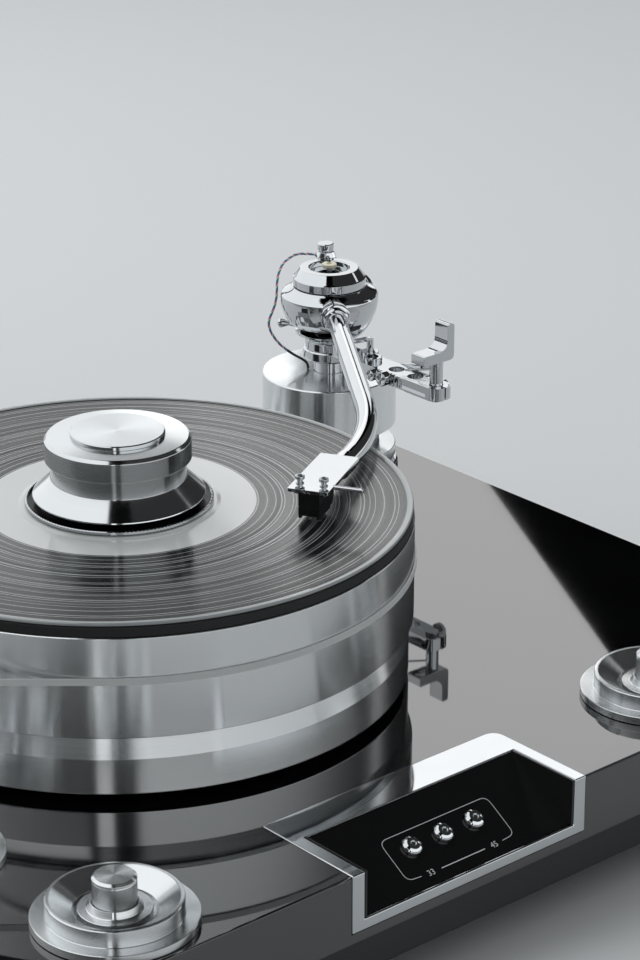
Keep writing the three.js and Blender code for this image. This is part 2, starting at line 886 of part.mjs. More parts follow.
function addPlatter() {
  const floor = bearingFloor - bearingDepth;
  const bore = shaftRadius + fit;
  const housing = turned(
    [
      [0, -bearingDepth],
      [bearingBodyRadius, -bearingDepth],
      [bearingBodyRadius, fit],
      [bearingFlangeRadius, fit],
      [bearingFlangeRadius, bearingFlangeTop],
      [bore, bearingFlangeTop],
      [bore, floor],
      [0, floor],
    ],
    middleSides,
  );
  add(deck, "bearing_housing", housing, satinSteel);
  const ball = new THREE.SphereGeometry(thrustBallRadius, tinySides, tinySides / 2);
  add(deck, "bearing_ball", ball, satinSteel, 0, 0, floor + fit + thrustBallRadius);

  const hubTop = hubBottom + hubHeight;
  const spindleTop = recordTop + spindleRise;
  const shaft = turned(
    [
      [0, floor + 2 * fit + 2 * thrustBallRadius],
      [shaftRadius, floor + 2 * fit + 2 * thrustBallRadius],
      [shaftRadius, hubBottom],
      [hubRadius, hubBottom],
      [hubRadius, hubTop],
      [hubNeckRadius, hubTop],
      [hubNeckRadius, upperTop],
      [spindleRadius, upperTop],
      [spindleRadius, spindleTop - spindleTip],
      [spindleRadius - spindleTip, spindleTop],
      [0, spindleTop],
    ],
    middleSides,
  );
  add(deck, "platter_spindle", shaft, satinSteel);

  const hubBore = hubNeckRadius + fit;
  const lower = turned(
    [
      [hubBore, hubTop + fit],
      [hubRadius + fit, hubTop + fit],
      [hubRadius + fit, platterGap],
      [lowerRadius, platterGap],
      [lowerRadius, lowerEdgeTop],
      [lowerTopRadius, lowerTop],
      [hubBore, lowerTop],
    ],
    platterSides,
  );
  add(deck, "lower_platter", lower, chrome);
  const upper = turned(
    [
      [hubBore, lowerTop + fit],
      [upperRadius, lowerTop + fit],
      [upperRadius, upperTop - upperChamfer],
      [upperRadius - upperChamfer, upperTop],
      [hubBore, upperTop],
    ],
    platterSides,
  );
  add(deck, "upper_platter", upper, chrome);
  const hole = spindleRadius + fit;
  const mat = turned(
    [
      [hole, matBottom],
      [matRadius, matBottom],
      [matRadius, matTop - matChamfer],
      [matRadius - matChamfer, matTop],
      [hole, matTop],
    ],
    platterSides,
  );
  add(deck, "platter_mat", mat, matBlack);
  const grooves = recordTop - recordGrooveDepth;
  const record = turned(
    [
      [hole, recordBottom],
      [recordRadius - recordEdge, recordBottom],
      [recordRadius, recordBottom + recordEdge],
      [recordRadius, recordTop - recordEdge],
      [recordRadius - recordEdge, recordTop],
      [recordRadius - recordBead + labelSlope, recordTop],
      [recordRadius - recordBead, grooves],
      [labelRadius + labelSlope, grooves],
      [labelRadius, recordTop],
      [hole, recordTop],
    ],
    platterSides,
  );
  add(deck, "record", record, vinyl);
}

function addClamp() {
  const hole = spindleRadius + fit;
  const base = recordTop + fit;
  const flangeTop = base + clampFlangeHeight;
  const grooveTop = flangeTop + clampGrooveHeight;
  const clampBase = turned(
    [
      [hole, base],
      [clampFlangeRadius, base],
      [clampFlangeRadius, flangeTop],
      [clampGrooveRadius, flangeTop],
      [clampGrooveRadius, grooveTop],
      [hole, grooveTop],
    ],
    largeSides,
  );
  add(deck, "clamp_base", clampBase, satinSteel);
  const coneFoot = grooveTop + fit;
  const neckFoot = coneFoot + clampConeRise;
  const neckTop = neckFoot + clampNeckHeight;
  const body = turned(
    [
      [hole, coneFoot],
      [clampConeRadius - clampLipWidth, coneFoot],
      [clampConeRadius, coneFoot + clampLipWidth],
      [clampNeckRadius, neckFoot],
      [clampNeckRadius, neckTop],
      [hole, neckTop],
    ],
    largeSides,
  );
  add(deck, "clamp_body", body, chrome);
  const capFoot = neckTop + fit;
  const capTop = capFoot + clampCapHeight;
  const cap = turned(
    [
      [0, capFoot],
      [clampCapRadius, capFoot],
      [clampCapRadius, capTop - clampCapChamfer],
      [clampCapRadius - clampCapChamfer, capTop],
      [clampDiscRadius, capTop],
      [clampDiscRadius, capTop + clampDiscHeight - clampCapChamfer],
      [clampDiscRadius - clampCapChamfer, capTop + clampDiscHeight],
      [0, capTop + clampDiscHeight],
    ],
    largeSides,
  );
  add(deck, "clamp_cap", cap, spunAluminium);
}

// Motor beside the platter, its pulley, and the belt round both

function addDrive() {
  const housing = turned(
    [
      [housingRadius - housingWall, fit],
      [housingRadius, fit],
      [housingRadius, housingHeight - housingChamfer],
      [housingRadius - housingChamfer, housingHeight],
      [housingShaftHole, housingHeight],
      [housingShaftHole, housingHeight - housingWall],
      [housingRadius - housingWall, housingHeight - housingWall],
    ],
    largeSides,
  );
  add(deck, "motor_housing", housing, blackMetal, motorX, motorY);
  const shaftBottom = motorHeight - pulleyShaftDepth;
  const motor = turned(
    [
      [0, fit],
      [motorRadius, fit],
      [motorRadius, motorHeight],
      [motorBossRadius, motorHeight],
      [motorBossRadius, motorHeight + motorBossHeight],
      [pulleyShaftRadius + fit, motorHeight + motorBossHeight],
      [pulleyShaftRadius + fit, shaftBottom - fit],
      [0, shaftBottom - fit],
    ],
    smallSides,
  );
  add(deck, "motor", motor, satinSteel, motorX, motorY);
  const pulleyTop = pulleyBottom + pulleyHeight;
  const rim = pulleyRadius + pulleyFlange;
  const pulley = turned(
    [
      [0, shaftBottom],
      [pulleyShaftRadius, shaftBottom],
      [pulleyShaftRadius, pulleyBottom],
      [rim, pulleyBottom],
      [rim, pulleyBottom + pulleyFlangeThickness],
      [pulleyRadius, pulleyBottom + 2 * pulleyFlangeThickness],
      [pulleyRadius, pulleyTop - 2 * pulleyFlangeThickness],
      [rim, pulleyTop - pulleyFlangeThickness],
      [rim, pulleyTop],
      [0, pulleyTop],
    ],
    middleSides,
  );
  add(deck, "motor_pulley", pulley, satinSteel, motorX, motorY);

  // The belt's outline is two arcs joined by the tangents common to both. It is the same angle for its inner
  // and outer wall, because both walls stand off their rims by the same amount.
  const span = Math.hypot(motorX, motorY);
  const towards = Math.atan2(motorY, motorX);
  const spread = Math.acos((upperRadius - pulleyRadius) / span);
  const loop = (offset, path) => {
    path.absarc(0, 0, upperRadius + offset, towards + spread, towards - spread + 2 * Math.PI);
    path.absarc(motorX, motorY, pulleyRadius + offset, towards - spread, towards + spread);
    return path;
  };
  const wall = loop(fit + beltThickness, new THREE.Shape());
  wall.holes.push(loop(fit, new THREE.Path()));
  const belt = new THREE.ExtrudeGeometry(wall, {
    depth: beltHeight,
    bevelEnabled: false,
    curveSegments: platterSides / 2,
  });
  add(deck, "belt", belt, beltGrey, 0, 0, beltBottom);
}

// Tonearm pod and pillar

function addPod() {
  const pillarBore = pillarRadius + fit;
  const ring = turned(
    [
      [podSpigotRadius + fit, fit],
      [podRingRadius, fit],
      [podRingRadius, podRingHeight - podRingChamfer],
      [podRingRadius - podRingChamfer, podRingHeight],
      [podSpigotRadius + fit, podRingHeight],
    ],
    largeSides,
  );
  add(deck, "pod_base_ring", ring, chrome, pivotX, pivotY);
  const pod = turned(
    [
      [0, -podSpigotDepth],
      [podSpigotRadius, -podSpigotDepth],
      [podSpigotRadius, podRingHeight + fit],
      [podGrooveRadius, podRingHeight + fit],
      [podGrooveRadius, podDiscBottom],
      [podDiscRadius, podDiscBottom],
      [podDiscRadius, podDiscTop],
      [podNeckRadius, podDiscTop],
      [podNeckRadius, podDrumBottom],
      [podDrumRadius, podDrumBottom],
      [podDrumRadius, podTop - podChamfer],
      [podDrumRadius - podChamfer, podTop],
      [pillarBore, podTop],
      [pillarBore, -pillarDepth - fit],
      [0, -pillarDepth - fit],
    ],
    largeSides,
  );
  add(deck, "arm_pod", pod, chrome, pivotX, pivotY);
  const pillar = turned(
    [
      [0, -pillarDepth],
      [pillarRadius, -pillarDepth],
      [pillarRadius, pillarHeadBottom],
      [pillarCollarRadius, pillarHeadBottom],
      [pillarCollarRadius, pillarRingBottom],
      [pillarRingRadius, pillarRingBottom],
      [pillarRingRadius, pillarRingBottom + pillarRingHeight],
      [pillarCollarRadius, pillarRingBottom + pillarRingHeight],
      [pillarCollarRadius, pillarFlareBottom],
      [pillarFlareRadius, pillarTop],
      [pillarNeckRadius, pillarTop],
      [pillarNeckRadius, pillarNeckTop],
      [pivotPinRadius, pillarNeckTop],
      [pivotPinRadius, pivotPinTop],
      [0, pivotPinTop],
    ],
    middleSides,
  );
  add(deck, "arm_pillar", pillar, chrome, pivotX, pivotY);

  const ringBottom = pillarTop + fit;
  const ringMiddle = ringBottom + lockRingThickness / 2;
  const ballHeight = ringMiddle + lockLeverRise;
  const lever = new THREE.LineCurve3(
    polar(pillarFlareRadius, lockLeverAngle, ringMiddle),
    polar(lockLeverReach, lockLeverAngle, ballHeight),
  );
  const ball = new THREE.SphereGeometry(lockBallRadius, tinySides, tinySides / 2);
  const lockRing = join(
    turned(
      [
        [pillarNeckRadius + fit, ringBottom],
        [lockRingRadius, ringBottom],
        [lockRingRadius, ringBottom + lockRingThickness],
        [pillarNeckRadius + fit, ringBottom + lockRingThickness],
      ],
      middleSides,
    ),
    tube(lever, lockLeverRadius, tinySides / 2, 1),
    ball.rotateX(Math.PI / 2).translate(...polar(lockLeverReach, lockLeverAngle, ballHeight).toArray()),
  );
  add(deck, "lock_ring", lockRing, chrome, pivotX, pivotY);
}

// Bracket, arm rest, cue lever and lift

function addBracket() {
  const left = bracketX - bracketWidth / 2;
  const right = bracketX + bracketWidth / 2;
  const end = bracketWidth / 2;
  const liftPlace = polar(liftReach, liftEnd, 0);
  const liftX = pivotX + liftPlace.x;
  const liftY = pivotY + liftPlace.y;
  const plan = new THREE.Shape();
  plan.moveTo(right, pivotY);
  plan.lineTo(left, pivotY);
  plan.lineTo(left, restPostY);
  plan.absarc(bracketX, restPostY, end, Math.PI, 2 * Math.PI);
  plan.lineTo(right, pivotY);
  const through = (x, y, radius, sides = smallSides) =>
    rod(radius, bracketBottom - overrun, bracketTop + overrun, sides).translate(x, y, 0);
  const pocket = block(
    left - overrun,
    left + bracketPocketDepth,
    bracketPocketStart,
    bracketPocketStart + bracketPocketLength,
    bracketBottom + bracketPocketBorder,
    bracketTop - bracketPocketBorder,
  );
  const boss = rod(liftBossRadius, bracketBottom, bracketTop + liftBossRise, smallSides);
  const cueBore = barAlongX(
    cueShaftRadius + fit,
    left - overrun,
    right + overrun,
    cueY,
    cueHeight,
    tinySides,
  );
  const bracket = cut(
    join(raised(plan, bracketBottom, bracketTop), boss.translate(liftX, liftY, 0)),
    through(pivotX, pivotY, pillarRingRadius + fit, middleSides),
    through(bracketX, restPostY, restPostRadius + fit),
    through(bracketX, bracketHoleFirst, bracketHoleRadius),
    through(bracketX, bracketHoleFirst - bracketHolePitch, bracketHoleRadius),
    through(liftX, liftY, liftPostRadius + fit),
    pocket,
    cueBore,
    barAlongX(
      restScrewStemRadius + fit,
      right - restScrewStemLength,
      right + overrun,
      restScrewY,
      restScrewHeight,
      tinySides,
    ),
  );
  add(deck, "lift_bracket", bracket, chrome);
  const restScrew = join(
    barAlongX(
      restScrewStemRadius,
      right + fit - restScrewStemLength,
      right + 2 * fit,
      restScrewY,
      restScrewHeight,
      tinySides,
    ),
    barAlongX(
      restScrewRadius,
      right + fit,
      right + fit + restScrewThickness,
      restScrewY,
      restScrewHeight,
      smallSides,
    ),
  );
  add(deck, "rest_screw", restScrew, chrome);

  const inner = restRight - restPaddle;
  const profile = new THREE.Shape();
  profile.moveTo(restRight - restLength, restShelf);
  profile.lineTo(inner - restFillet, restShelf);
  profile.absarc(inner - restFillet, restShelf + restFillet, restFillet, -Math.PI / 2, 0);
  profile.lineTo(inner, restTop - restChamfer);
  profile.lineTo(inner + restChamfer, restTop);
  profile.lineTo(restRight - restChamfer, restTop);
  profile.lineTo(restRight, restTop - restChamfer);
  profile.lineTo(restRight, restBottom);
  profile.lineTo(restRight - restLength, restBottom);
  profile.lineTo(restRight - restLength, restShelf);
  const restFront = restPostY - restDepth / 2;
  const rest = join(
    acrossY(profile, restFront, restFront + restDepth),
    rod(restPostRadius, bracketBottom - restPostDrop, restBottom + restChamfer, smallSides)
      .translate(bracketX, restPostY, 0),
  );
  add(deck, "arm_rest", rest, chrome);

  // The lever's arm is a plate beside the bracket that narrows from the shaft to the finger pad.
  const armStart = right + fit;
  const armEnd = armStart + cueArmThickness;
  const slope = Math.atan2(cueArmRise, cueArmLength);
  const armShape = new THREE.Shape();
  armShape.absarc(0, 0, cueArmRadius, -Math.PI / 2 - slope, Math.PI / 2 - slope);
  armShape.absarc(
    -cueArmLength,
    cueArmRise,
    cueTipRadius,
    Math.PI / 2 - slope,
    Math.PI / 2 - slope + Math.PI,
  );
  const arm = new THREE.ExtrudeGeometry(armShape, {
    depth: cueArmThickness,
    bevelEnabled: false,
    curveSegments: cornerSteps,
  });
  const sideways = new THREE.Matrix4().makeBasis(
    new THREE.Vector3(0, 1, 0),
    new THREE.Vector3(0, 0, 1),
    new THREE.Vector3(1, 0, 0),
  );
  const cueLever = join(
    arm.applyMatrix4(sideways).translate(armStart, cueY, cueHeight),
    barAlongX(cueShaftRadius, left - fit - cueHubLength, armEnd, cueY, cueHeight, tinySides),
    barAlongX(cueHubRadius, left - fit - cueHubLength, left - fit, cueY, cueHeight, smallSides),
    barAlongX(
      cueTipRadius,
      armStart,
      armEnd + cuePadLength,
      cueY - cueArmLength,
      cueHeight + cueArmRise,
      tinySides,
    ),
  );
  add(deck, "cue_lever", cueLever, chrome);

  // The platform is an arc about the pivot, so that it stays under the tube wherever the arm swings.
  const platform = new THREE.Shape();
  platform.absarc(0, 0, liftReach + liftWidth / 2, liftStart, liftEnd);
  platform.absarc(0, 0, liftReach - liftWidth / 2, liftEnd, liftStart, true);
  const lift = join(
    raised(platform, liftTop - liftThickness, liftTop),
    rod(liftPostRadius, liftTop - liftPostDepth, liftTop - liftThickness / 2, tinySides)
      .translate(liftPlace.x, liftPlace.y, 0),
  );
  add(deck, "lift_platform", lift, chrome, pivotX, pivotY);
}

// Lead post: a bent rod behind the bowl, with a flat head and a knob that clamps the lead

function addLead() {
  const path = new THREE.CatmullRomCurve3([
    polar(pillarCollarRadius + fit, 0, postBaseHeight),
    polar((pillarCollarRadius + postReach) / 2, 0, postBaseHeight),
    polar(postReach, 0, postBaseHeight + (postReach - pillarCollarRadius) / 2),
    polar(postReach, 0, postShoulder),
    polar(postReach, postLeanStart, postShoulder + postLeanRise),
    polar(postReach, postTurn / 2, (postShoulder + postHeadBottom) / 2),
    polar(postHeadReach, postTurn, (postHeadBottom + postHeadTop) / 2),
  ]);
  const head = turned(
    [
      [0, postHeadBottom],
      [postHeadRadius, postHeadBottom],
      [postHeadRadius, postHeadTop],
      [postKnobRadius, postHeadTop],
      [postKnobRadius, postKnobTop - postKnobChamfer],
      [postKnobRadius - postKnobChamfer, postKnobTop],
      [0, postKnobTop],
    ],
    smallSides,
  );
  const headPlace = polar(postHeadReach, postTurn, 0);
  const post = join(
    tube(path, postRodRadius, tinySides, 2 * bendSteps),
    head.translate(headPlace.x, headPlace.y, 0),
  );
  add(deck, "lead_post", post, chrome, pivotX, pivotY);
  const route = new THREE.CatmullRomCurve3(leadRoute.map((point) => new THREE.Vector3(...point)));
  add(deck, "tonearm_lead", tube(route, leadRadius, leadSides, leadSteps), leadCover, pivotX, pivotY);
}

// Tonearm, built along +x from its pivot and then turned to where it plays

function addTonearm() {
  const arm = new THREE.Group();
  arm.position.set(pivotX, pivotY, 0);
  arm.rotation.z = armAngle;
  deck.add(arm);

  const pinBore = pivotPinRadius + fit;
  const wallMiddle = (pinBore + yokeRadius) / 2;
  const yoke = join(
    turned(
      [
        [pinBore, yokeBottom],
        [yokeRadius, yokeBottom],
        [yokeRadius, bowlTop],
        [yokeStemRadius, bowlTop],
        [yokeStemRadius, yokeStemTop],
        [washerRadius, yokeStemTop],
        [washerRadius, yokeStemTop + washerThickness],
        [0, yokeStemTop + washerThickness],
        [0, pivotPinTop + fit],
        [pinBore, pivotPinTop + fit],
      ],
      smallSides,
    ),
    barAlongY(trunnionRadius, wallMiddle, trunnionReach, 0, trunnionHeight, tinySides),
    barAlongY(trunnionRadius, -trunnionReach, -wallMiddle, 0, trunnionHeight, tinySides),
  );
  add(arm, "arm_yoke", yoke, satinSteel);

  const bowlBody = turned(
    [
      [0, bowlBottom],
      [bowlBottomRadius, bowlBottom],
      [bowlBellyRadius, bowlBelly],
      [bowlWaistRadius, bowlWaist],
      [bowlRadius, bowlWallTop],
      [bowlRadius, bowlRimTop],
      [bowlShoulderRadius, bowlTop],
      [0, bowlTop],
    ],
    middleSides,
  );
  const bowl = cut(
    join(
      bowlBody,
      barAlongX(bossRadius, capBandRadius + fit, bossReach, 0, tubeStartHeight, middleSides),
      barAlongX(stubRadius, -stubReach, -bowlBore, 0, stubHeight, smallSides),
    ),
    rod(bowlBore, bowlBottom - overrun, bowlTop + overrun, smallSides),
    barAlongY(
      trunnionRadius + fit,
      -trunnionReach - fit,
      trunnionReach + fit,
      0,
      trunnionHeight,
      tinySides,
    ),
  );
  add(arm, "bearing_bowl", bowl, chrome);

  const capBottom = bowlTop + fit;
  const coneFoot = capBottom + capBandHeight;
  const capTop = coneFoot + capConeHeight;
  const cap = turned(
    [
      [bowlBore, capBottom],
      [capBandRadius, capBottom],
      [capBandRadius, coneFoot],
      [capTopRadius, capTop],
      [capRecessRadius, capTop],
      [capRecessFloorRadius, capBottom + capRecessFloor],
      [bowlBore, capBottom + capRecessFloor],
    ],
    middleSides,
  );
  add(arm, "bearing_cap", cap, chrome);

  // The tube's middle line runs in the arm's upright plane as far as the bend, and then turns aside.
  const forward = (distance, height) =>
    new THREE.Vector3(
      tubeBendStretch + distance * Math.cos(bendAngle),
      -distance * Math.sin(bendAngle),
      height,
    );
  const ringStart = bossReach + fit;
  const ringEnd = ringStart + tubeRingLength;
  const collarEnd = ringEnd + tubeCollarLength;
  const tubeEnd = tubeForward - headshellSocketLength - fit;
  const bendEnd = tubeBendReach - ferruleLength;
  const rise = (tubeBendHeight - tubeStartHeight) / (tubeBendStretch - ringStart);
  const climb = (distance) => tubeStartHeight + rise * (distance - ringStart);
  const bendStart = tubeBendStretch - tubeBendReach;
  const bendOut = tubeBendHeight + ((tubeEndHeight - tubeBendHeight) * bendEnd) / tubeEnd;
  const line = new THREE.CurvePath();
  const bend = new THREE.QuadraticBezierCurve3(
    new THREE.Vector3(bendStart, 0, climb(bendStart)),
    new THREE.Vector3(tubeBendStretch, 0, tubeBendHeight),
    forward(bendEnd, bendOut),
  );
  line.add(new THREE.LineCurve3(new THREE.Vector3(ringStart, 0, tubeStartHeight), bend.v0));
  line.add(bend);
  line.add(new THREE.LineCurve3(bend.v2, forward(tubeEnd, tubeEndHeight)));
  const collar = turned(
    [
      [0, ringStart],
      [tubeRingRadius, ringStart],
      [tubeRingRadius, ringEnd],
      [tubeCollarRadius, ringEnd],
      [tubeCollarRadius, collarEnd],
      [0, collarEnd],
    ],
    middleSides,
  );
  const ferrule = new THREE.LineCurve3(
    forward(tubeEnd - ferruleLength, tubeEndHeight),
    forward(tubeEnd, tubeEndHeight),
  );
  const armTube = join(
    tube(line, tubeRadius, smallSides, 2 * bendSteps),
    collar.rotateY(Math.PI / 2).translate(0, 0, tubeStartHeight),
    tube(ferrule, ferruleRadius, smallSides, 1),
  );
  add(arm, "arm_tube", armTube, chrome);

  const weight = cut(
    turned(
      [
        [0, -weightLength / 2],
        [weightRadius - weightChamfer, -weightLength / 2],
        [weightRadius, weightChamfer - weightLength / 2],
        [weightRadius, weightLength / 2 - weightChamfer],
        [weightRadius - weightChamfer, weightLength / 2],
        [0, weightLength / 2],
      ],
      middleSides,
    ).rotateY(Math.PI / 2),
    barAlongX(stubRadius + fit, -weightLength, weightLength, 0, weightDrop, smallSides),
  );
  add(arm, "counterweight", weight, satinSteel, -weightReach, 0, stubHeight - weightDrop);
  addHeadshell(arm, forward);
}

function addHeadshell(arm, forward) {
  const head = new THREE.Group();
  head.position.copy(forward(tubeForward, 0));
  head.rotation.z = -bendAngle;
  arm.add(head);
  const plateBottom = headshellTop - headshellThickness;
  const screwX = headshellLength - screwFromFront;
  const screwYs = [screwSpacing / 2, -screwSpacing / 2];
  const plan = outline([
    [0, -headshellBackWidth / 2],
    [headshellLength, -headshellFrontWidth / 2],
    [headshellLength, headshellFrontWidth / 2],
    [0, headshellBackWidth / 2],
  ]);
  const socket = barAlongX(
    headshellSocketRadius,
    -headshellSocketLength,
    headshellSocketGrip,
    0,
    tubeEndHeight,
    smallSides,
  );
  const screwHole = (y, top) =>
    rod(screwRadius + fit, headshellTop - screwDepth - fit, top, tinySides).translate(screwX, y, 0);
  const headshell = cut(
    join(raised(plan, plateBottom, headshellTop), socket),
    ...screwYs.map((y) => screwHole(y, headshellTop + overrun)),
  );
  add(head, "headshell", headshell, chrome);

  const front = headshellLength - cartridgeSetback;
  const bodyTop = plateBottom - fit;
  const bodyBottom = bodyTop - cartridgeHeight;
  const side = outline([
    [front - cartridgeLength, bodyTop],
    [front - cartridgeLength, bodyBottom],
    [front - cartridgeNose, bodyBottom],
    [front, bodyBottom + cartridgeNoseDrop],
    [front, bodyTop],
  ]);
  const cartridge = cut(
    acrossY(side, -cartridgeWidth / 2, cartridgeWidth / 2),
    ...screwYs.map((y) => screwHole(y, bodyTop + overrun)),
  );
  add(head, "cartridge", cartridge, cartridgeBlack);

  const holderFront = front - stylusHolderSetback;
  const holderTop = bodyBottom - fit;
  const holderBottom = holderTop - stylusHolderHeight;
  const tipX = holderFront + cantileverLength - cantileverThickness;
  const tipZ = recordTop + fit;
  const tipTop = tipZ + stylusTipLength;
  const rodSide = outline([
    [holderFront - cantileverLength / 2, holderTop - stylusHolderHeight / 2],
    [holderFront - cantileverLength / 2, holderBottom],
    [tipX - cantileverThickness, tipTop],
    [tipX, tipZ],
    [tipX + cantileverThickness, tipTop],
    [tipX + cantileverThickness, tipTop + cantileverThickness],
    [holderFront, holderTop - stylusHolderHeight / 2],
  ]);
  const stylus = join(
    block(
      holderFront - stylusHolderLength,
      holderFront,
      -stylusHolderWidth / 2,
      stylusHolderWidth / 2,
      holderBottom,
      holderTop,
    ),
    acrossY(rodSide, -cantileverWidth / 2, cantileverWidth / 2),
  );
  add(head, "stylus", stylus, satinSteel);

  const screw = turned(
    [
      [0, headshellTop - screwDepth],
      [screwRadius, headshellTop - screwDepth],
      [screwRadius, headshellTop + fit],
      [screwHeadRadius, headshellTop + fit],
      [screwHeadRadius, headshellTop + screwHeadHeight],
      [0, headshellTop + screwHeadHeight],
    ],
    tinySides,
  );
  add(head, "headshell_screw_outer", screw, satinSteel, screwX, screwYs[0]);
  add(head, "headshell_screw_inner", screw, satinSteel, screwX, screwYs[1]);

  const liftX = headshellLength - fingerLiftSetback;
  const liftStartY = headshellFrontWidth / 2 + fit;
  const liftEndY = liftStartY + fingerLiftLength;
  const liftHeight = plateBottom + headshellThickness / 2;
  const fingerLift = join(
    barAlongY(fingerLiftRadius, liftStartY, liftEndY, liftX, liftHeight, tinySides),
    barAlongY(fingerLiftPad, liftEndY - fingerLiftPad * 2, liftEndY, liftX, liftHeight, tinySides),
  );
  add(head, "finger_lift", fingerLift, chrome);
}

addPlinth();
addChassis();
addControlPanel();
addAdjusters();
addPlatter();
addClamp();
addDrive();
addPod();
addBracket();
addLead();
addTonearm();

// The origin: the middle of the footprint, at the height of the feet's soles
const turntable = new THREE.Group();
turntable.add(deck);
const extent = new THREE.Box3().setFromObject(turntable, true);
const middle = extent.getCenter(new THREE.Vector3());
deck.position.set(-middle.x, -middle.y, -extent.min.z);

export default turntable;
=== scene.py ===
"""A belt-drive turntable: lacquered plinth, tall turned platter, record and clamp, control panel, and a long
tonearm on a round pod. Its pieces are drawn in millimetres from the platter's axis at the plinth's top, and
then put in their place in the frame."""
import math

import bpy
from mathutils import Matrix, Vector


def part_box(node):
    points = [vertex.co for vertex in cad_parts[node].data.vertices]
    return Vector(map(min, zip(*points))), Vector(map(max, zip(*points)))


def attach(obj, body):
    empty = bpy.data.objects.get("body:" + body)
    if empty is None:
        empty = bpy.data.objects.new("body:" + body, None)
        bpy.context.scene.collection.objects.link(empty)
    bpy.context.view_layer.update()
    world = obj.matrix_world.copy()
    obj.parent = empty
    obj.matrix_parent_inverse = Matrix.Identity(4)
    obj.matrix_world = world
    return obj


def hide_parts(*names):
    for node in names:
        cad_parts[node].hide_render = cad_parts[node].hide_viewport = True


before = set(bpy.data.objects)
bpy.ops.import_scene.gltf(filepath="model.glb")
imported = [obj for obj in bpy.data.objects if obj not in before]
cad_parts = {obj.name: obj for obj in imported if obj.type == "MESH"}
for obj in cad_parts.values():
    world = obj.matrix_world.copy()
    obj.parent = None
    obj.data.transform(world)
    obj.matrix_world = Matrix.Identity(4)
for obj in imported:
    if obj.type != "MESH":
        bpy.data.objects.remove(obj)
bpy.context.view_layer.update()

record_low, record_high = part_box("record")
DECK = Vector((
    (record_low.x + record_high.x) / 2,
    (record_low.y + record_high.y) / 2,
    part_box("plinth")[1].z,
))
ON_DECK = Matrix.Translation(DECK) @ Matrix.Scale(0.001, 4)

# The camera, at the photograph's viewing angle. It looks along VIEW_TURN, in degrees from the x axis. Cameras
# and lamps are turned from the y axis.

VIEW_TURN = 49.03
CAMERA_TURN = VIEW_TURN - 90
bpy.ops.object.camera_add(
    location=DECK + Vector((-0.8680, -1.1563, 0.69445)),
    rotation=(math.radians(67.83), 0, math.radians(CAMERA_TURN)),
)
camera = bpy.context.object
camera.name = "photo_camera"
camera.data.lens = 114.29
bpy.context.scene.camera = camera
bpy.context.scene.view_settings.view_transform = "Standard"

# How pieces are modelled

bpy.context.tool_settings.mesh_select_mode = (True, False, False)
MERGED_WITHIN = 0.002


def alone(piece):
    """Makes one piece the only one selected, and the active one."""
    bpy.ops.object.select_all(action="DESELECT")
    piece.select_set(True)
    bpy.context.view_layer.objects.active = piece


def scrapped(*pieces):
    """Deletes patterns and cutters that have done their work."""
    for piece in pieces:
        alone(piece)
        bpy.ops.object.delete()


def drawn(name, points):
    """A line from point to point, extruded from one vertex. It is left in edit mode, selected all over."""
    bpy.ops.object.select_all(action="DESELECT")
    bpy.ops.mesh.primitive_plane_add(size=1)
    piece = bpy.context.object
    piece.name = piece.data.name = name
    bpy.ops.object.mode_set(mode="EDIT")
    bpy.ops.mesh.merge(type="CENTER")
    bpy.ops.transform.translate(value=Vector(points[0]))
    for here, there in zip(points, points[1:]):
        step = Vector(there) - Vector(here)
        bpy.ops.mesh.extrude_region_move(TRANSFORM_OT_translate={"value": step})
    bpy.ops.mesh.select_all(action="SELECT")
    return piece


def eased(corners, ease=0.3, parts=3, closed=False):
    """The corners of a flat section, each rounded by its own third number or by ease."""
    points = []
    count = len(corners)
    for i, corner in enumerate(corners):
        here = Vector(corner[:2])
        radius = corner[2] if len(corner) > 2 else ease
        if radius == 0 or (not closed and i in (0, count - 1)):
            points.append(tuple(here))
            continue
        back = Vector(corners[i - 1][:2]) - here
        on = Vector(corners[(i + 1) % count][:2]) - here
        half = back.angle(on) / 2
        # A rounding takes no more than its share of the two sides that it joins
        reach = min(radius / math.tan(half), 0.47 * back.length, 0.47 * on.length)
        start = here + back.normalized() * reach
        end = here + on.normalized() * reach
        steps = parts * 4 if radius > 3 else parts
        for k in range(steps + 1):
            t = k / steps
            points.append(tuple((1 - t) ** 2 * start + 2 * t * (1 - t) * here + t * t * end))
    if closed:
        points.append(points[0])
    return points


def smoothed(piece, angle=32):
    """Smooth shading that keeps flats flat and corners crisp."""
    alone(piece)
    bpy.ops.object.shade_smooth_by_angle(angle=math.radians(angle))
    bpy.ops.object.modifier_add(type="WEIGHTED_NORMAL")
    piece.modifiers[-1].keep_sharp = True
    bpy.ops.object.modifier_apply(modifier=piece.modifiers[-1].name)
    return piece


def turned(name, corners, ease=0.3, sides=144, parts=3):
    """A section of [radius, height] corners spun about the upright axis, as on a lathe. It keeps how far along
    the section each point lies, for the rings of lathe_metal."""
    piece = drawn(name, [(r, 0, z) for r, z in eased(corners, ease, parts)])
    bpy.ops.mesh.spin(steps=sides, angle=math.tau, center=(0, 0, 0), axis=(0, 0, 1))
    bpy.ops.mesh.select_all(action="SELECT")
    bpy.ops.mesh.remove_doubles(threshold=MERGED_WITHIN)
    bpy.ops.mesh.normals_make_consistent(inside=False)
    bpy.ops.object.mode_set(mode="OBJECT")
    lathe = piece.data.attributes.new("lathe_mm", "FLOAT", "POINT")
    lathe.data.foreach_set("value", [math.hypot(v.co.x, v.co.y) + v.co.z for v in piece.data.vertices])
    return smoothed(piece)


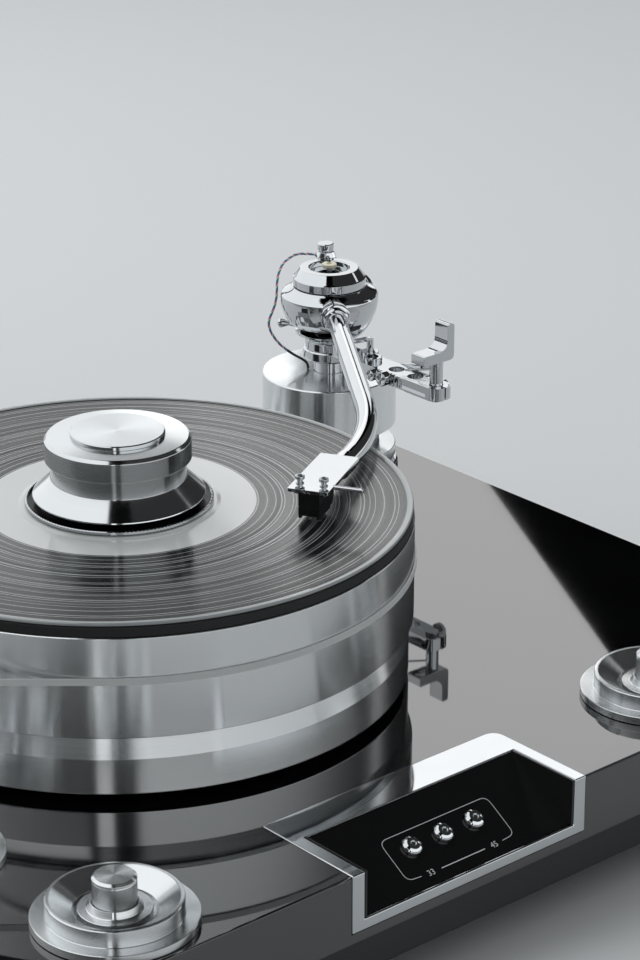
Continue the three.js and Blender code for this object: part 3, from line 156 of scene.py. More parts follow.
def extruded(name, outline, travel):
    """A closed flat outline of 3-D points drawn out by travel."""
    piece = drawn(name, outline)
    bpy.ops.mesh.remove_doubles(threshold=MERGED_WITHIN)
    bpy.ops.mesh.edge_face_add()
    bpy.ops.mesh.extrude_region_move(TRANSFORM_OT_translate={"value": travel})
    bpy.ops.mesh.select_all(action="SELECT")
    bpy.ops.mesh.normals_make_consistent(inside=False)
    bpy.ops.object.mode_set(mode="OBJECT")
    return piece


def slab(name, corners, bottom, top, parts=3):
    """A plan outline of [x, y, radius] corners raised from bottom to top."""
    plan = eased(corners, parts=parts, closed=True)
    return extruded(name, [(x, y, bottom) for x, y in plan], (0, 0, top - bottom))


def block(name, across, deep, upright, corner=0):
    """A block between two places each way, with its upright edges rounded by corner."""
    plan = [(across[0], deep[0]), (across[1], deep[0]), (across[1], deep[1]), (across[0], deep[1])]
    return slab(name, [(x, y, corner) for x, y in plan], *upright)


def softened(piece, width, parts=3):
    """Rounds the piece's sharp edges."""
    alone(piece)
    bpy.ops.object.modifier_add(type="BEVEL")
    bevel = piece.modifiers[-1]
    bevel.width = width
    bevel.segments = parts
    bevel.limit_method = "ANGLE"
    bevel.angle_limit = math.radians(30)
    bpy.ops.object.modifier_apply(modifier=bevel.name)
    return smoothed(piece)


def carved(piece, *tools, operation="DIFFERENCE"):
    """Cuts the tools out of the piece, or adds them to it, and deletes them."""
    for tool in tools:
        alone(piece)
        bpy.ops.object.modifier_add(type="BOOLEAN")
        boolean = piece.modifiers[-1]
        boolean.operation = operation
        boolean.solver = "EXACT"
        boolean.object = tool
        bpy.ops.object.modifier_apply(modifier=boolean.name)
        scrapped(tool)


def moved(piece, matrix):
    """Puts a piece's mesh through a matrix and leaves its object at the origin."""
    alone(piece)
    piece.matrix_world = matrix @ piece.matrix_world
    bpy.ops.object.transform_apply(location=True, rotation=True, scale=True)
    return piece


def gathered(name, *pieces):
    """Joins loose pieces into one object."""
    alone(pieces[0])
    for piece in pieces:
        piece.select_set(True)
    bpy.ops.object.join()
    pieces[0].name = pieces[0].data.name = name
    return pieces[0]


def another(piece, name):
    """A copy with a mesh of its own."""
    alone(piece)
    bpy.ops.object.duplicate()
    copy = bpy.context.object
    copy.name = copy.data.name = name
    return copy


def rod(name, points, radius, sides):
    """A round rod or wire along points."""
    drawn(name, points)
    bpy.ops.object.mode_set(mode="OBJECT")
    bpy.ops.object.convert(target="CURVE")
    line = bpy.context.object.data
    line.fill_mode = "FULL"
    line.bevel_depth = radius
    line.bevel_resolution = sides // 2 - 2
    line.use_fill_caps = True
    bpy.ops.object.convert(target="MESH")
    piece = bpy.context.object
    piece.name = piece.data.name = name
    bpy.ops.object.shade_smooth_by_angle(angle=math.radians(35))
    return piece


def bar(name, radius, start, end, ease=0.2, sides=48):
    """A round bar with eased ends, from one 3-D point to another."""
    start, end = Vector(start), Vector(end)
    length = (end - start).length
    piece = turned(name, [(0, 0), (radius, 0), (radius, length), (0, length)], ease, sides)
    turn = (end - start).to_track_quat("Z", "Y").to_matrix().to_4x4()
    return moved(piece, Matrix.Translation(start) @ turn)


def bore(radius, x, y, bottom, top, sides=48):
    """An upright cutter for a round hole."""
    return bar("bore", radius, (x, y, bottom), (x, y, top), 0, sides)


def knurled(piece, sides, shrink, low, high, beyond):
    """Draws every second line of a turned wall in, which leaves upright ridges round it. The wall lies between
    two heights and beyond a radius."""
    bpy.ops.object.mode_set(mode="EDIT")
    bpy.ops.mesh.select_all(action="DESELECT")
    bpy.ops.object.mode_set(mode="OBJECT")
    for vertex in piece.data.vertices:
        x, y, z = vertex.co
        line = round(math.atan2(y, x) / math.tau * sides)
        vertex.select = line % 2 == 1 and low < z < high and math.hypot(x, y) > beyond
    bpy.ops.object.mode_set(mode="EDIT")
    bpy.ops.transform.resize(value=(shrink, shrink, 1), center_override=(0, 0, 0))
    bpy.ops.object.mode_set(mode="OBJECT")
    smoothed(piece, 20)


def through(points, parts=6):
    """Points of a smooth curve through the given ones."""
    knots = [Vector(p) for p in points]
    knots = [2 * knots[0] - knots[1], *knots, 2 * knots[-1] - knots[-2]]
    curve = []
    for a, b, c, d in zip(knots, knots[1:], knots[2:], knots[3:]):
        for k in range(parts):
            t = k / parts
            curve.append(0.5 * (2 * b + (c - a) * t + (2 * a - 5 * b + 4 * c - d) * t**2
                                + (3 * b - a - 3 * c + d) * t**3))
    curve.append(knots[-2])
    return curve


def dressed(piece, finish, body, slot, *replaced, at=Matrix.Identity(4)):
    """Gives a finished piece its material and its place in the frame, and lets it ride on its body."""
    piece.data.materials.clear()
    piece.data.materials.append(finish)
    moved(piece, ON_DECK @ at)
    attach(piece, body)
    if replaced:
        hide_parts(*replaced)


# Materials


def linear(colour):
    """An sRGB hex colour as linear red, green, blue and alpha."""
    parts = [(colour >> shift & 255) / 255 for shift in (16, 8, 0)]
    return [c / 12.92 if c <= 0.04045 else ((c + 0.055) / 1.055) ** 2.4 for c in parts] + [1]


def add(material, kind, inputs, **settings):
    """Adds a node with its settings. An input is given a value, a socket to link, or a node, whose first output
    in use is linked."""
    made = material.node_tree.nodes.new(kind)
    for name, value in settings.items():
        setattr(made, name, value)
    for socket, value in inputs.items():
        if isinstance(value, bpy.types.Node):
            value = next(output for output in value.outputs if output.enabled)
        if isinstance(value, bpy.types.NodeSocket):
            material.node_tree.links.new(value, made.inputs[socket])
        else:
            made.inputs[socket].default_value = value
    return made


def begun(name):
    """A new material with an empty node tree."""
    material = bpy.data.materials.new(name)
    material.use_nodes = True
    material.node_tree.nodes.clear()
    return material


def closed(material, surface):
    add(material, "ShaderNodeOutputMaterial", {"Surface": surface})
    return material


def varied(material, pattern, colours, roughness, depth, strength, surface):
    """Closes a material whose pattern shifts its colour and its roughness between two values each, and raises
    it by depth millimetres. A noise lies mostly between 0.3 and 0.7."""
    tint = add(material, "ShaderNodeMix", {
        "Factor": pattern, "A": linear(colours[0]), "B": linear(colours[1])}, data_type="RGBA")
    rough = add(material, "ShaderNodeMapRange", {
        "Value": pattern, "From Min": 0.3, "From Max": 0.7, "To Min": roughness[0], "To Max": roughness[1]})
    bump = add(material, "ShaderNodeBump", {"Height": pattern, "Distance": depth * 0.001, "Strength": strength})
    return closed(material, add(material, "ShaderNodeBsdfPrincipled", {
        "Base Color": tint, "Roughness": rough, "Normal": bump, **surface}))


def mottled_metal(name, colour, roughness, spread, grain):
    """Polished metal or plating: a clear mirror with faint cloudy buffing marks of grain millimetres."""
    metal = begun(name)
    place = add(metal, "ShaderNodeTexCoord", {}).outputs["Object"]
    cloud = add(metal, "ShaderNodeTexNoise", {"Vector": place, "Scale": 1000 / grain, "Detail": 4})
    return varied(metal, cloud, (colour, colour - 0x0A0A09), (roughness - spread, roughness + spread),
                  0.02, 0.2, {"Metallic": 1})


def lathe_metal(name, colour, roughness, spacing, depth, pull):
    """Metal turned on a lathe: rings spacing millimetres apart, read from the section of each piece, which
    pull a reflection out into a fan on a flat top and into upright streaks on a wall."""
    metal = begun(name)
    along = add(metal, "ShaderNodeAttribute", {}, attribute_name="lathe_mm").outputs["Fac"]
    ring = add(metal, "ShaderNodeTexNoise", {
        "W": along, "Scale": 1 / spacing, "Detail": 5, "Roughness": 0.65}, noise_dimensions="1D")
    tangent = add(metal, "ShaderNodeTangent", {}, direction_type="RADIAL", axis="Z")
    return varied(metal, ring, (colour, colour - 0x070706), (roughness * 0.88, roughness * 1.15), depth, 0.6,
                  {"Metallic": 1, "Anisotropic": pull, "Anisotropic Rotation": 0.25, "Tangent": tangent})


def moulded(name, colour, roughness, grain, depth):
    """A paint, plastic or rubber: its grain of grain millimetres breaks up the light a little."""
    skin = begun(name)
    place = add(skin, "ShaderNodeTexCoord", {}).outputs["Object"]
    fleck = add(skin, "ShaderNodeTexNoise", {"Vector": place, "Scale": 1000 / grain, "Detail": 6})
    return varied(skin, fleck, (colour, colour + 0x050505), (roughness * 0.9, roughness * 1.1), depth, 0.5, {})


# Piano lacquer: polyester over black, rubbed to a mirror. The eye sees a deep black that holds a clear image
# of the studio, with the faintest ripple.
def piano_lacquer():
    lacquer = begun("piano_black_lacquer")
    place = add(lacquer, "ShaderNodeTexCoord", {}).outputs["Object"]
    ripple = add(lacquer, "ShaderNodeTexNoise", {"Vector": place, "Scale": 1000 / 9, "Detail": 2})
    haze = add(lacquer, "ShaderNodeTexNoise", {"Vector": place, "Scale": 1000 / 60, "Detail": 3})
    rough = add(lacquer, "ShaderNodeMapRange", {"Value": haze, "To Min": 0.015, "To Max": 0.05})
    tint = add(lacquer, "ShaderNodeMix", {
        "Factor": haze, "A": linear(0x030304), "B": linear(0x08090A)}, data_type="RGBA")
    bump = add(lacquer, "ShaderNodeBump", {"Height": ripple, "Distance": 0.00001, "Strength": 0.25})
    return closed(lacquer, add(lacquer, "ShaderNodeBsdfPrincipled", {
        "Base Color": tint, "Roughness": rough, "IOR": 1.55, "Coat Weight": 1, "Coat Roughness": 0.02,
        "Coat IOR": 1.6, "Normal": bump}))


# Places and widths of the smooth rings between the tracks, millimetres from the spindle
TRACK_GAPS = [
    (61, 0.5), (64.5, 0.4), (67.5, 0.5), (71, 0.5), (75.5, 0.4), (80, 0.5), (83, 0.6), (84.6, 0.5),
    (89, 0.4), (94.5, 0.5), (96.6, 0.5), (103, 0.4), (108.5, 0.6), (110.6, 0.5), (112.5, 0.5),
    (118, 0.4), (123.5, 0.5), (125.3, 0.5), (131, 0.4), (135.5, 0.5), (141, 0.5), (143, 0.4)]
PLAYING_HEIGHT = 95.6
RIM_RADIUS = 147.4
RUN_OUT_RADIUS = 71
# Inside this radius the disc is painted pale: the label's paper, and a painted reflection on the run-out round
# it
PALE_RADIUS = 70


# Pressed vinyl: black, with the fine rings of its grooves. Light on it is painted into its colour. The fine
# rings, the shiny smooth rings between the playing bands, and the rim are light grey painted highlights. The
# smooth run-out is a pale painted reflection, and it shows as one pale disc with the label's grey paper. Each
# groove is really
# 0.1 mm wide, and the rings are drawn about 1.3 mm apart, so that they show.
def pressed_vinyl():
    vinyl = begun("pressed_vinyl")
    along = add(vinyl, "ShaderNodeAttribute", {}, attribute_name="lathe_mm").outputs["Fac"]
    radius = add(vinyl, "ShaderNodeMath", {0: along, 1: PLAYING_HEIGHT}, operation="SUBTRACT")
    groove = add(vinyl, "ShaderNodeTexNoise", {
        "W": radius, "Scale": 1 / 1.3, "Detail": 3, "Roughness": 0.6}, noise_dimensions="1D")
    # Loud and quiet passages: bands of finer and coarser grooves, a few millimetres wide. They vary the
    # roughness and carry a painted sheen of lighter grey
    passage_sheen = add(vinyl, "ShaderNodeTexNoise", {"W": radius, "Scale": 1 / 6, "Detail": 2},
                  noise_dimensions="1D")
    rings = add(vinyl, "ShaderNodeMath", {0: groove, 1: 0.68}, operation="GREATER_THAN")
    # The smooth rings between the tracks, and the rim beyond RIM_RADIUS, are painted as bright as the groove
    # rings: a painted highlight
    smooth = [add(vinyl, "ShaderNodeMath", {0: radius, 1: place, 2: width / 2}, operation="COMPARE")
              for place, width in TRACK_GAPS]
    smooth.append(add(vinyl, "ShaderNodeMath", {0: radius, 1: RIM_RADIUS}, operation="GREATER_THAN"))
    for ring in smooth:
        rings = add(vinyl, "ShaderNodeMath", {0: rings, 1: ring}, operation="MAXIMUM")
    run_out = add(vinyl, "ShaderNodeMath", {0: radius, 1: RUN_OUT_RADIUS}, operation="LESS_THAN")
    smooth_sheen = add(vinyl, "ShaderNodeMath", {0: rings, 1: run_out}, operation="MAXIMUM")
    cut = add(vinyl, "ShaderNodeMath", {0: 1, 1: smooth_sheen}, operation="SUBTRACT")
    rough = add(vinyl, "ShaderNodeMath", {0: cut, 1: passage_sheen}, operation="MULTIPLY")
    rough = add(vinyl, "ShaderNodeMapRange", {"Value": rough, "To Min": 0.12, "To Max": 0.42})
    pale = add(vinyl, "ShaderNodeMath", {0: radius, 1: PALE_RADIUS}, operation="LESS_THAN")
    # Base colour with painted light over black vinyl: a painted sheen on the passages, a grey painted
    # reflection on the smooth parts, light grey painted highlights on the groove rings, the smooth rings and
    # the rim, and pale for the label's paper and for the run-out round it, where the pale is a painted
    # reflection
    shade = linear(0x0A0B0C)
    for part, colour in ((passage_sheen, 0x1A1C1D), (smooth_sheen, 0x3A3E40), (rings, 0x9CA1A3), (pale, 0xCDD0D1)):
        shade = add(vinyl, "ShaderNodeMix", {"Factor": part, "A": shade, "B": linear(colour)},
                    data_type="RGBA")
    bump = add(vinyl, "ShaderNodeBump", {"Height": groove, "Distance": 0.00002, "Strength": 0.5})
    tangent = add(vinyl, "ShaderNodeTangent", {}, direction_type="RADIAL", axis="Z")
    return closed(vinyl, add(vinyl, "ShaderNodeBsdfPrincipled", {
        "Base Color": shade, "Roughness": rough, "IOR": 1.58, "Anisotropic": 0.95,
        "Anisotropic Rotation": 0.25, "Tangent": tangent, "Coat Weight": 0.3, "Coat Roughness": 0.12,
        "Normal": bump}))


LACQUER = piano_lacquer()
VINYL = pressed_vinyl()
# Chrome plate over polished brass: bright and cool, a clear mirror
CHROME = mottled_metal("chrome_plate", 0xCDD0D2, 0.05, 0.02, 30)
# Polished aluminium of the platter and the pod: a mirror softened upwards and downwards by fine lathe rings
POLISHED = lathe_metal("polished_turned_aluminium", 0xDDE0E1, 0.19, 0.5, 0.0001, 1)
# Spun aluminium of the adjuster cups and knobs, the pulley and the feet: satin, with fans of light on flat tops
SPUN = lathe_metal("spun_aluminium", 0xDDE0E1, 0.22, 0.4, 0.0003, 0.95)
# Diamond-turned aluminium of the clamp: nearly a clear mirror, with hairline rings
TURNED = lathe_metal("diamond_turned_aluminium", 0xD0D3D4, 0.14, 0.5, 0.0001, 0.8)
# Stainless steel, fine ground: greyer and softer
STEEL = mottled_metal("ground_steel", 0xC4C8CA, 0.26, 0.05, 6)
# Steel painted dark: the shade under the clamp's cone is painted into its colour, with a dull sheen
SHADE_PAINTED_STEEL = mottled_metal("steel_with_painted_shade", 0x1C1E20, 0.3, 0.05, 6)
# Powder coat on steel: matt black with a fine orange peel
POWDER = moulded("black_powder_coat", 0x15171A, 0.48, 0.9, 0.03)
# Anodised aluminium sheet, dyed black: a smooth dark sheen that shows the buttons dimly
PANEL = moulded("black_anodised_sheet", 0x0D0E0F, 0.2, 0.35, 0.004)
# Nitrile rubber and cork mat: dead matt and nearly black
MAT = moulded("mat_rubber", 0x121314, 0.72, 0.8, 0.05)
# Ground belt rubber: pale grey and matt
BELT = moulded("belt_rubber", 0xD6D9DA, 0.6, 0.6, 0.02)
# Glass-fibre board with green solder mask: a waxy dark green
BOARD = moulded("green_circuit_board", 0x1B4632, 0.35, 1.2, 0.01)
# Glass-filled plastic of the cartridge: black, with soft highlights along its edges
CARTRIDGE = moulded("black_cartridge_plastic", 0x0C0D0E, 0.3, 0.7, 0.01)
# Silk-screened lettering: pale grey, flat
PRINT = moulded("screen_print", 0xC9CDCE, 0.5, 0.4, 0.004)
# Ivory plastic washer: warm and silky next to the chrome
IVORY = moulded("ivory_acetal", 0xE4DDC6, 0.35, 1, 0.01)
# Wire covers: enamel in four colours, glossy as fresh paint, and a thin black sleeve
WIRES = {colour: moulded(colour + "_wire_enamel", code, 0.35, 0.6, 0.01) for colour, code in (
    ("red", 0xE0506A), ("blue", 0x3F8AD4), ("green", 0x3D9C78), ("white", 0xE8EAEA))}
SLEEVE = moulded("black_wire_sleeve", 0x0B0C0D, 0.4, 0.6, 0.01)

# Plinth, chassis and feet

PLINTH_ACROSS = (-295, 323.2)
PLINTH_DEEP = (-243.2, 246.8)
BEARING_HOLE = 22.3
PIVOT_X, PIVOT_Y = 272, 148
PIVOT = Matrix.Translation((PIVOT_X, PIVOT_Y, 0))
CAP_PLACES = {
    "front_left": (-160.5, -202.5),
    "front_right": (188.7, -202.5),
    "side": (-193.4, -99.1),
    "back_left": (-160.5, 206.1),
    "back_right": (188.7, 206.1),
}


def plate(name, inset, bottom, top, edge):
    """A plate of the plinth's outline, set in all round, with its edges rounded."""
    across = (PLINTH_ACROSS[0] + inset, PLINTH_ACROSS[1] - inset)
    deep = (PLINTH_DEEP[0] + inset, PLINTH_DEEP[1] - inset)
    return softened(block(name, across, deep, (bottom, top), 8), edge)


plinth = plate("plinth_slab", 0, -36, 0, 1.1)
recess = slab("recess", [(-55.8, -250, 0), (96.8, -250, 0), (96.8, -178.8, 8.3), (-55.8, -178.8, 0)], -30.3, 6)
carved(plinth, recess, bore(BEARING_HOLE, 0, 0, -42, 6), bore(18.3, PIVOT_X, PIVOT_Y, -25.3, 6),
       *[bore(12.3, x, y, -14.3, 6) for x, y in CAP_PLACES.values()])
dressed(smoothed(plinth), LACQUER, "base", "piano_black_lacquer", "plinth")

chassis = plate("chassis_body", 4, -56.3, -36.3, 1)
carved(chassis, bore(BEARING_HOLE, 0, 0, -62, -30),
       block("board_pocket", (-7.8, 48.8), (-224.5, -185.9), (-62, -43.3), 1),
       block("socket_seat", (130.7, 209.3), (240.3, 249), (-54.6, -38)))
dressed(smoothed(chassis), POWDER, "base", "chassis_black", "lower_chassis")
dressed(plate("cover_sheet", 9, -59.6, -56.6, 0.4), POWDER, "base", "black_coated_steel", "bottom_cover")

foot = turned("foot_turned", [
    (0, -18), (23.8, -18), (25, -16.8), (25, -13), (17, -11.8, 2), (17, -1.2, 1), (20, 0), (0, 0)], 0.6)
for end, y in (("front", -185.2), ("back", 188.8)):
    for side, x in (("left", -237), ("right", 265.2)):
        dressed(another(foot, f"turned_foot_{end}_{side}"), SPUN, "base", "spun_aluminium",
                f"foot_{end}_{side}", at=Matrix.Translation((x, y, -59.9)))
scrapped(foot)

# Control panel

PANEL_BACK, PANEL_TOP = -200.8, 0.5
SLOPE = math.atan2(24.7, 40.9)
SHEET = 2.3
BUTTONS = {"left": 0, "middle": 20.35, "right": 40.7}
BUTTONS_DOWN = 25.7


def on_slope(x, down):
    """A place on the sloped panel: x along it, and millimetres down from its upper edge."""
    place = (x, PANEL_BACK - down * math.cos(SLOPE), PANEL_TOP - down * math.sin(SLOPE))
    return Matrix.Translation(place) @ Matrix.Rotation(SLOPE, 4, "X")


def on_side(points, x):
    return [(x, y, z) for y, z in points]


def button_holes(radius, depth):
    """Cutters for the buttons' holes, square to the slope."""
    return [moved(bore(radius, 0, 0, -depth, 6), on_slope(x, BUTTONS_DOWN)) for x in BUTTONS.values()]


panel_frame = slab("frame_body", [
    (-55.5, -243.7, 0), (96.5, -243.7, 0), (96.5, -179.1, 8), (-55.5, -179.1, 0)], -30, PANEL_TOP)
frame_recess = extruded("frame_recess", on_side([
    (PANEL_BACK, 6.5), (PANEL_BACK, -2.14), (-241.7, -26.84), (-241.7, -24.2), (-249.7, -24.2), (-249.7, 6.5),
    (PANEL_BACK, 6.5)], -47.9), (136.8, 0, 0))
carved(panel_frame, frame_recess)
softened(panel_frame, 0.7)
carved(panel_frame, *button_holes(5.7, 5.4))
dressed(smoothed(panel_frame), CHROME, "base", "chromed_metal", "panel_frame")

tangent_of_slope = math.tan(SLOPE)
sheet_back, sheet_foot = -201.1, -241.4
top_back = PANEL_TOP - 0.3 * tangent_of_slope
top_foot = PANEL_TOP - 40.6 * tangent_of_slope
sloped_sheet = extruded("sloped_sheet", on_side([
    (sheet_back, top_back), (sheet_back, top_back - SHEET), (sheet_foot, top_foot - SHEET),
    (sheet_foot, top_foot), (sheet_back, top_back)], -47.6), (136.2, 0, 0))
cheek = [
    (sheet_back, PANEL_TOP), (sheet_back, top_back - 1.17), (sheet_foot, top_foot - 1.17),
    (sheet_foot, -23.9), (-243.4, -23.9), (-243.4, PANEL_TOP), (sheet_back, PANEL_TOP)]
carved(sloped_sheet, *[extruded("cheek", on_side(cheek, x), (1.2, 0, 0)) for x in (-47.6, 87.4)],
       operation="UNION")
carved(sloped_sheet, *button_holes(5.4, 6))
softened(sloped_sheet, 0.25, 2)
dressed(sloped_sheet, PANEL, "base", "black_panel", "control_panel")

button = turned("button_dome", [
    (0, -3.6), (5.1, -3.6), (5.1, 1.8, 0.5), (4.5, 2.55, 0.8), (3.3, 3.3, 1), (2.2, 3.5, 0.8),
    (1.5, 3.45, 0.3), (1.2, 2.95, 0.3), (0, 2.9)], 0.3, 64, 4)
for side, x in BUTTONS.items():
    dressed(another(button, "domed_button_" + side), CHROME, "push_" + side, "chromed_metal",
            "button_" + side, at=on_slope(x, BUTTONS_DOWN))
scrapped(button)


def printed(name, points, width):
    """A thin printed line on the panel, through points of x and distance down the slope."""
    line = rod(name, [(x, -s, 0) for x, s in points], width / 2, 8)
    return moved(line, Matrix.Diagonal((1, 1, 0.16, 1)))


def lettered(text, x, down):
    """Printed figures on the panel, with their middle at a place on the slope."""
    bpy.ops.object.select_all(action="DESELECT")
    bpy.ops.object.text_add()
    words = bpy.context.object.data
    words.body = text
    words.size = 4.4
    words.align_x = "CENTER"
    words.align_y = "CENTER"
    words.extrude = 0.03
    bpy.ops.object.convert(target="MESH")
    piece = bpy.context.object
    piece.name = piece.data.name = "speed_" + text
    return moved(piece, Matrix.Translation((x, -down, 0)))


legend = gathered(
    "panel_legend",
    printed("legend_right", eased([(20.85, 17, 0), (56, 17, 4.5), (56, 40.7, 4.5), (47.5, 41.3, 0)]), 0.36),
    printed("legend_left", eased([(20.85, 17, 0), (-14, 17, 4.5), (-14, 40.7, 4.5), (-5.5, 41.3, 0)]), 0.36),
    printed("legend_bar", [(7.2, 41.6), (35.6, 41.6)], 0.5),
    lettered("33", 0.6, 41.6),
    lettered("45", 41.8, 41.6),
)
dressed(legend, PRINT, "base", "black_panel", at=on_slope(0, 0) @ Matrix.Translation((0, 0, 0.02)))

# Adjuster caps and knobs

cup = turned("cup_turned", [
    (4.3, 8, 0), (4.3, -14), (12, -14), (12, 0.3), (38.6, 0.3), (38.6, 4.4, 0.7), (31.5, 4.4, 0.5),
    (31.5, 12.5, 1.1), (29.4, 12.5, 1), (19.3, 6.4, 0.3), (19.3, 2.6, 0.1), (17.2, 2.6, 0.1),
    (17.2, 7.3, 0.5), (12.9, 7.3, 0.8), (11.3, 10.6, 0.5), (10.6, 10.2), (10.6, 8), (4.3, 8, 0)])
KNOB_SIDES = 168
knob = turned("knob_turned", [
    (0, -10), (4, -10), (4, 8.3), (10.25, 8.3, 0.4), (10.25, 20.8, 0.1), (9.9, 21.1, 0.1), (9.9, 21.4, 0.1),
    (10.3, 21.7, 0.1), (10.3, 22.3, 0.3), (9.1, 23.4, 0.2), (0, 23.4)], 0.3, KNOB_SIDES)
knurled(knob, KNOB_SIDES, 0.97, 9, 20.9, 9)
for place, (x, y) in CAP_PLACES.items():
    spot = Matrix.Translation((x, y, 0))
    dressed(another(cup, "turned_cup_" + place), SPUN, "base", "spun_aluminium",
            "adjuster_cup_" + place, at=spot)
    dressed(another(knob, "knurled_knob_" + place), SPUN, "knob_" + place, "spun_aluminium",
            "adjuster_knob_" + place, at=spot)
scrapped(cup, knob)

# Platter, mat and record

PLATTER_RADIUS = 151.5
PLATTER_SIDES = 256
spindle = turned("spindle_turned", [
    (0, -35.4), (9, -35.4), (9, 4.25), (32, 4.25), (32, 10.65), (12, 10.65), (12, 88.3), (3.55, 88.3),
    (3.55, 110.45, 0.8), (2.15, 111.85, 0.6), (0, 111.85)], 0.2, 72)
dressed(spindle, STEEL, "platter", "satin_steel", "platter_spindle")
lower = turned("lower_platter_ring", [
    (12.3, 10.95), (32.3, 10.95), (32.3, 4.7), (149, 4.7, 0.8), (149, 23.4, 0.35), (146.6, 35.5, 0.35),
    (12.3, 35.5), (12.3, 10.95)], 0.3, PLATTER_SIDES)
dressed(lower, POLISHED, "platter", "polished_aluminium", "lower_platter")
upper = turned("upper_platter_ring", [
    (12.3, 35.8), (PLATTER_RADIUS, 35.8, 0.5), (PLATTER_RADIUS, 87.9, 0.3), (151, 88.3, 0.2), (12.3, 88.3),
    (12.3, 35.8)], 0.3, PLATTER_SIDES)
dressed(upper, POLISHED, "platter", "polished_aluminium", "upper_platter")
mat = turned("mat_disc", [
    (3.85, 88.6), (150.9, 88.6, 0.5), (150.9, 93.2, 0.6), (150.2, 93.8, 0.4), (3.85, 93.8), (3.85, 88.6)],
    0.3, PLATTER_SIDES)
dressed(mat, MAT, "platter", "mat_rubber", "platter_mat")
record = turned("record_disc", [
    (3.85, 94.1), (150.35, 94.1, 0.3), (150.8, 94.6, 0.3), (150.8, 95.4, 0.3), (150.3, 95.85, 0.3),
    (148.6, 95.85, 0.5), (146.6, 95.35, 0.8), (52, 95.35, 0.5), (50, 95.85, 0.3), (3.85, 95.85),
    (3.85, 94.1)], 0.2, PLATTER_SIDES, 4)
dressed(record, VINYL, "platter", "vinyl", "record")

# Record clamp

CLAMP_SIDES = 192
CLAMP_KNURLS = 300
# The base disc is steel, painted dark as painted shade under the cone
clamp_base = turned("clamp_base_disc", [
    (3.85, 96.15), (47.2, 96.15, 0.1), (47.2, 96.9, 0.1), (41.5, 96.9, 0.1), (41.5, 99.95), (3.85, 99.95),
    (3.85, 96.15)], 0.2, CLAMP_SIDES)
dressed(clamp_base, SHADE_PAINTED_STEEL, "clamp", "satin_steel", "clamp_base")
clamp_ring = turned("clamp_knurled_ring", [
    (47, 96.95), (47, 96.15), (48, 96.15, 0.2), (48.4, 96.6, 0.2), (48.4, 97.9, 0.2), (48, 98.25, 0.2),
    (47.3, 98.25, 0.2), (47, 97.9), (47, 96.95)], 0.1, CLAMP_KNURLS, 2)
knurled(clamp_ring, CLAMP_KNURLS, 0.982, 96, 99, 47.9)
dressed(clamp_ring, CHROME, "clamp", "satin_steel")
clamp_body = turned("clamp_cone", [
    (3.85, 100.25), (43.8, 100.25, 0.2), (44.5, 100.7, 0.3), (44.2, 101.3, 0.2), (34.9, 109.95, 0.5),
    (34.9, 118.95, 0.2), (3.85, 118.95), (3.85, 100.25)], 0.2, CLAMP_SIDES)
dressed(clamp_body, TURNED, "clamp", "polished_aluminium", "clamp_body")
clamp_cap = turned("clamp_cap_disc", [
    (0, 119.25), (36.9, 119.25, 0.3), (37.65, 120, 0.4), (37.65, 130, 0.6), (36.2, 131.7, 0.8),
    (24.5, 132.1, 0.1), (24.5, 131.9, 0.1), (24.2, 131.9, 0.1), (24.2, 133.9, 0.3), (23.6, 134.35, 0.4),
    (0, 134.35)], 0.2, CLAMP_SIDES)
dressed(clamp_cap, TURNED, "clamp", "spun_aluminium", "clamp_cap")

# Motor, pulley and belt

MOTOR_X, MOTOR_Y = -250, 40
MOTOR = Matrix.Translation((MOTOR_X, MOTOR_Y, 0))
PULLEY_RADIUS = 18
housing = turned("motor_can", [
    (33, 0.3), (36, 0.3), (36, 50.5, 0.8), (34.5, 52, 0.8), (6, 52), (6, 49), (33, 49), (33, 0.3)])
dressed(housing, POWDER, "base", "black_coated_steel", "motor_housing", at=MOTOR)
pulley = turned("pulley_turned", [
    (0, 24), (3, 24), (3, 57), (19.8, 57), (19.8, 58.6), (PULLEY_RADIUS, 60.2, 0.4), (PULLEY_RADIUS, 71.8, 0.4),
    (19.8, 73.4), (19.8, 75), (0, 75)], 0.25)
dressed(pulley, SPUN, "pulley", "satin_steel", "motor_pulley", at=MOTOR)
towards = math.atan2(MOTOR_Y, MOTOR_X)
spread = math.acos((PLATTER_RADIUS - PULLEY_RADIUS) / math.hypot(MOTOR_X, MOTOR_Y))


def belt_loop(offset, height):
    """The belt's line round the platter and the pulley, offset millimetres out from their rims."""
    line = []
    for k in range(181):
        a = towards + spread + (math.tau - 2 * spread) * k / 180
        reach = PLATTER_RADIUS + offset
        line.append((reach * math.cos(a), reach * math.sin(a), height))
    for k in range(41):
        a = towards - spread + 2 * spread * k / 40
        reach = PULLEY_RADIUS + offset
        line.append((MOTOR_X + reach * math.cos(a), MOTOR_Y + reach * math.sin(a), height))
    return line + line[:1]


belt = extruded("belt_band", belt_loop(1.2, 64.5), (0, 0, 3.4))
carved(belt, extruded("belt_inside", belt_loop(0.3, 60), (0, 0, 12)))
dressed(smoothed(belt), BELT, "base", "belt_rubber", "belt")

# Tonearm pod and pillar

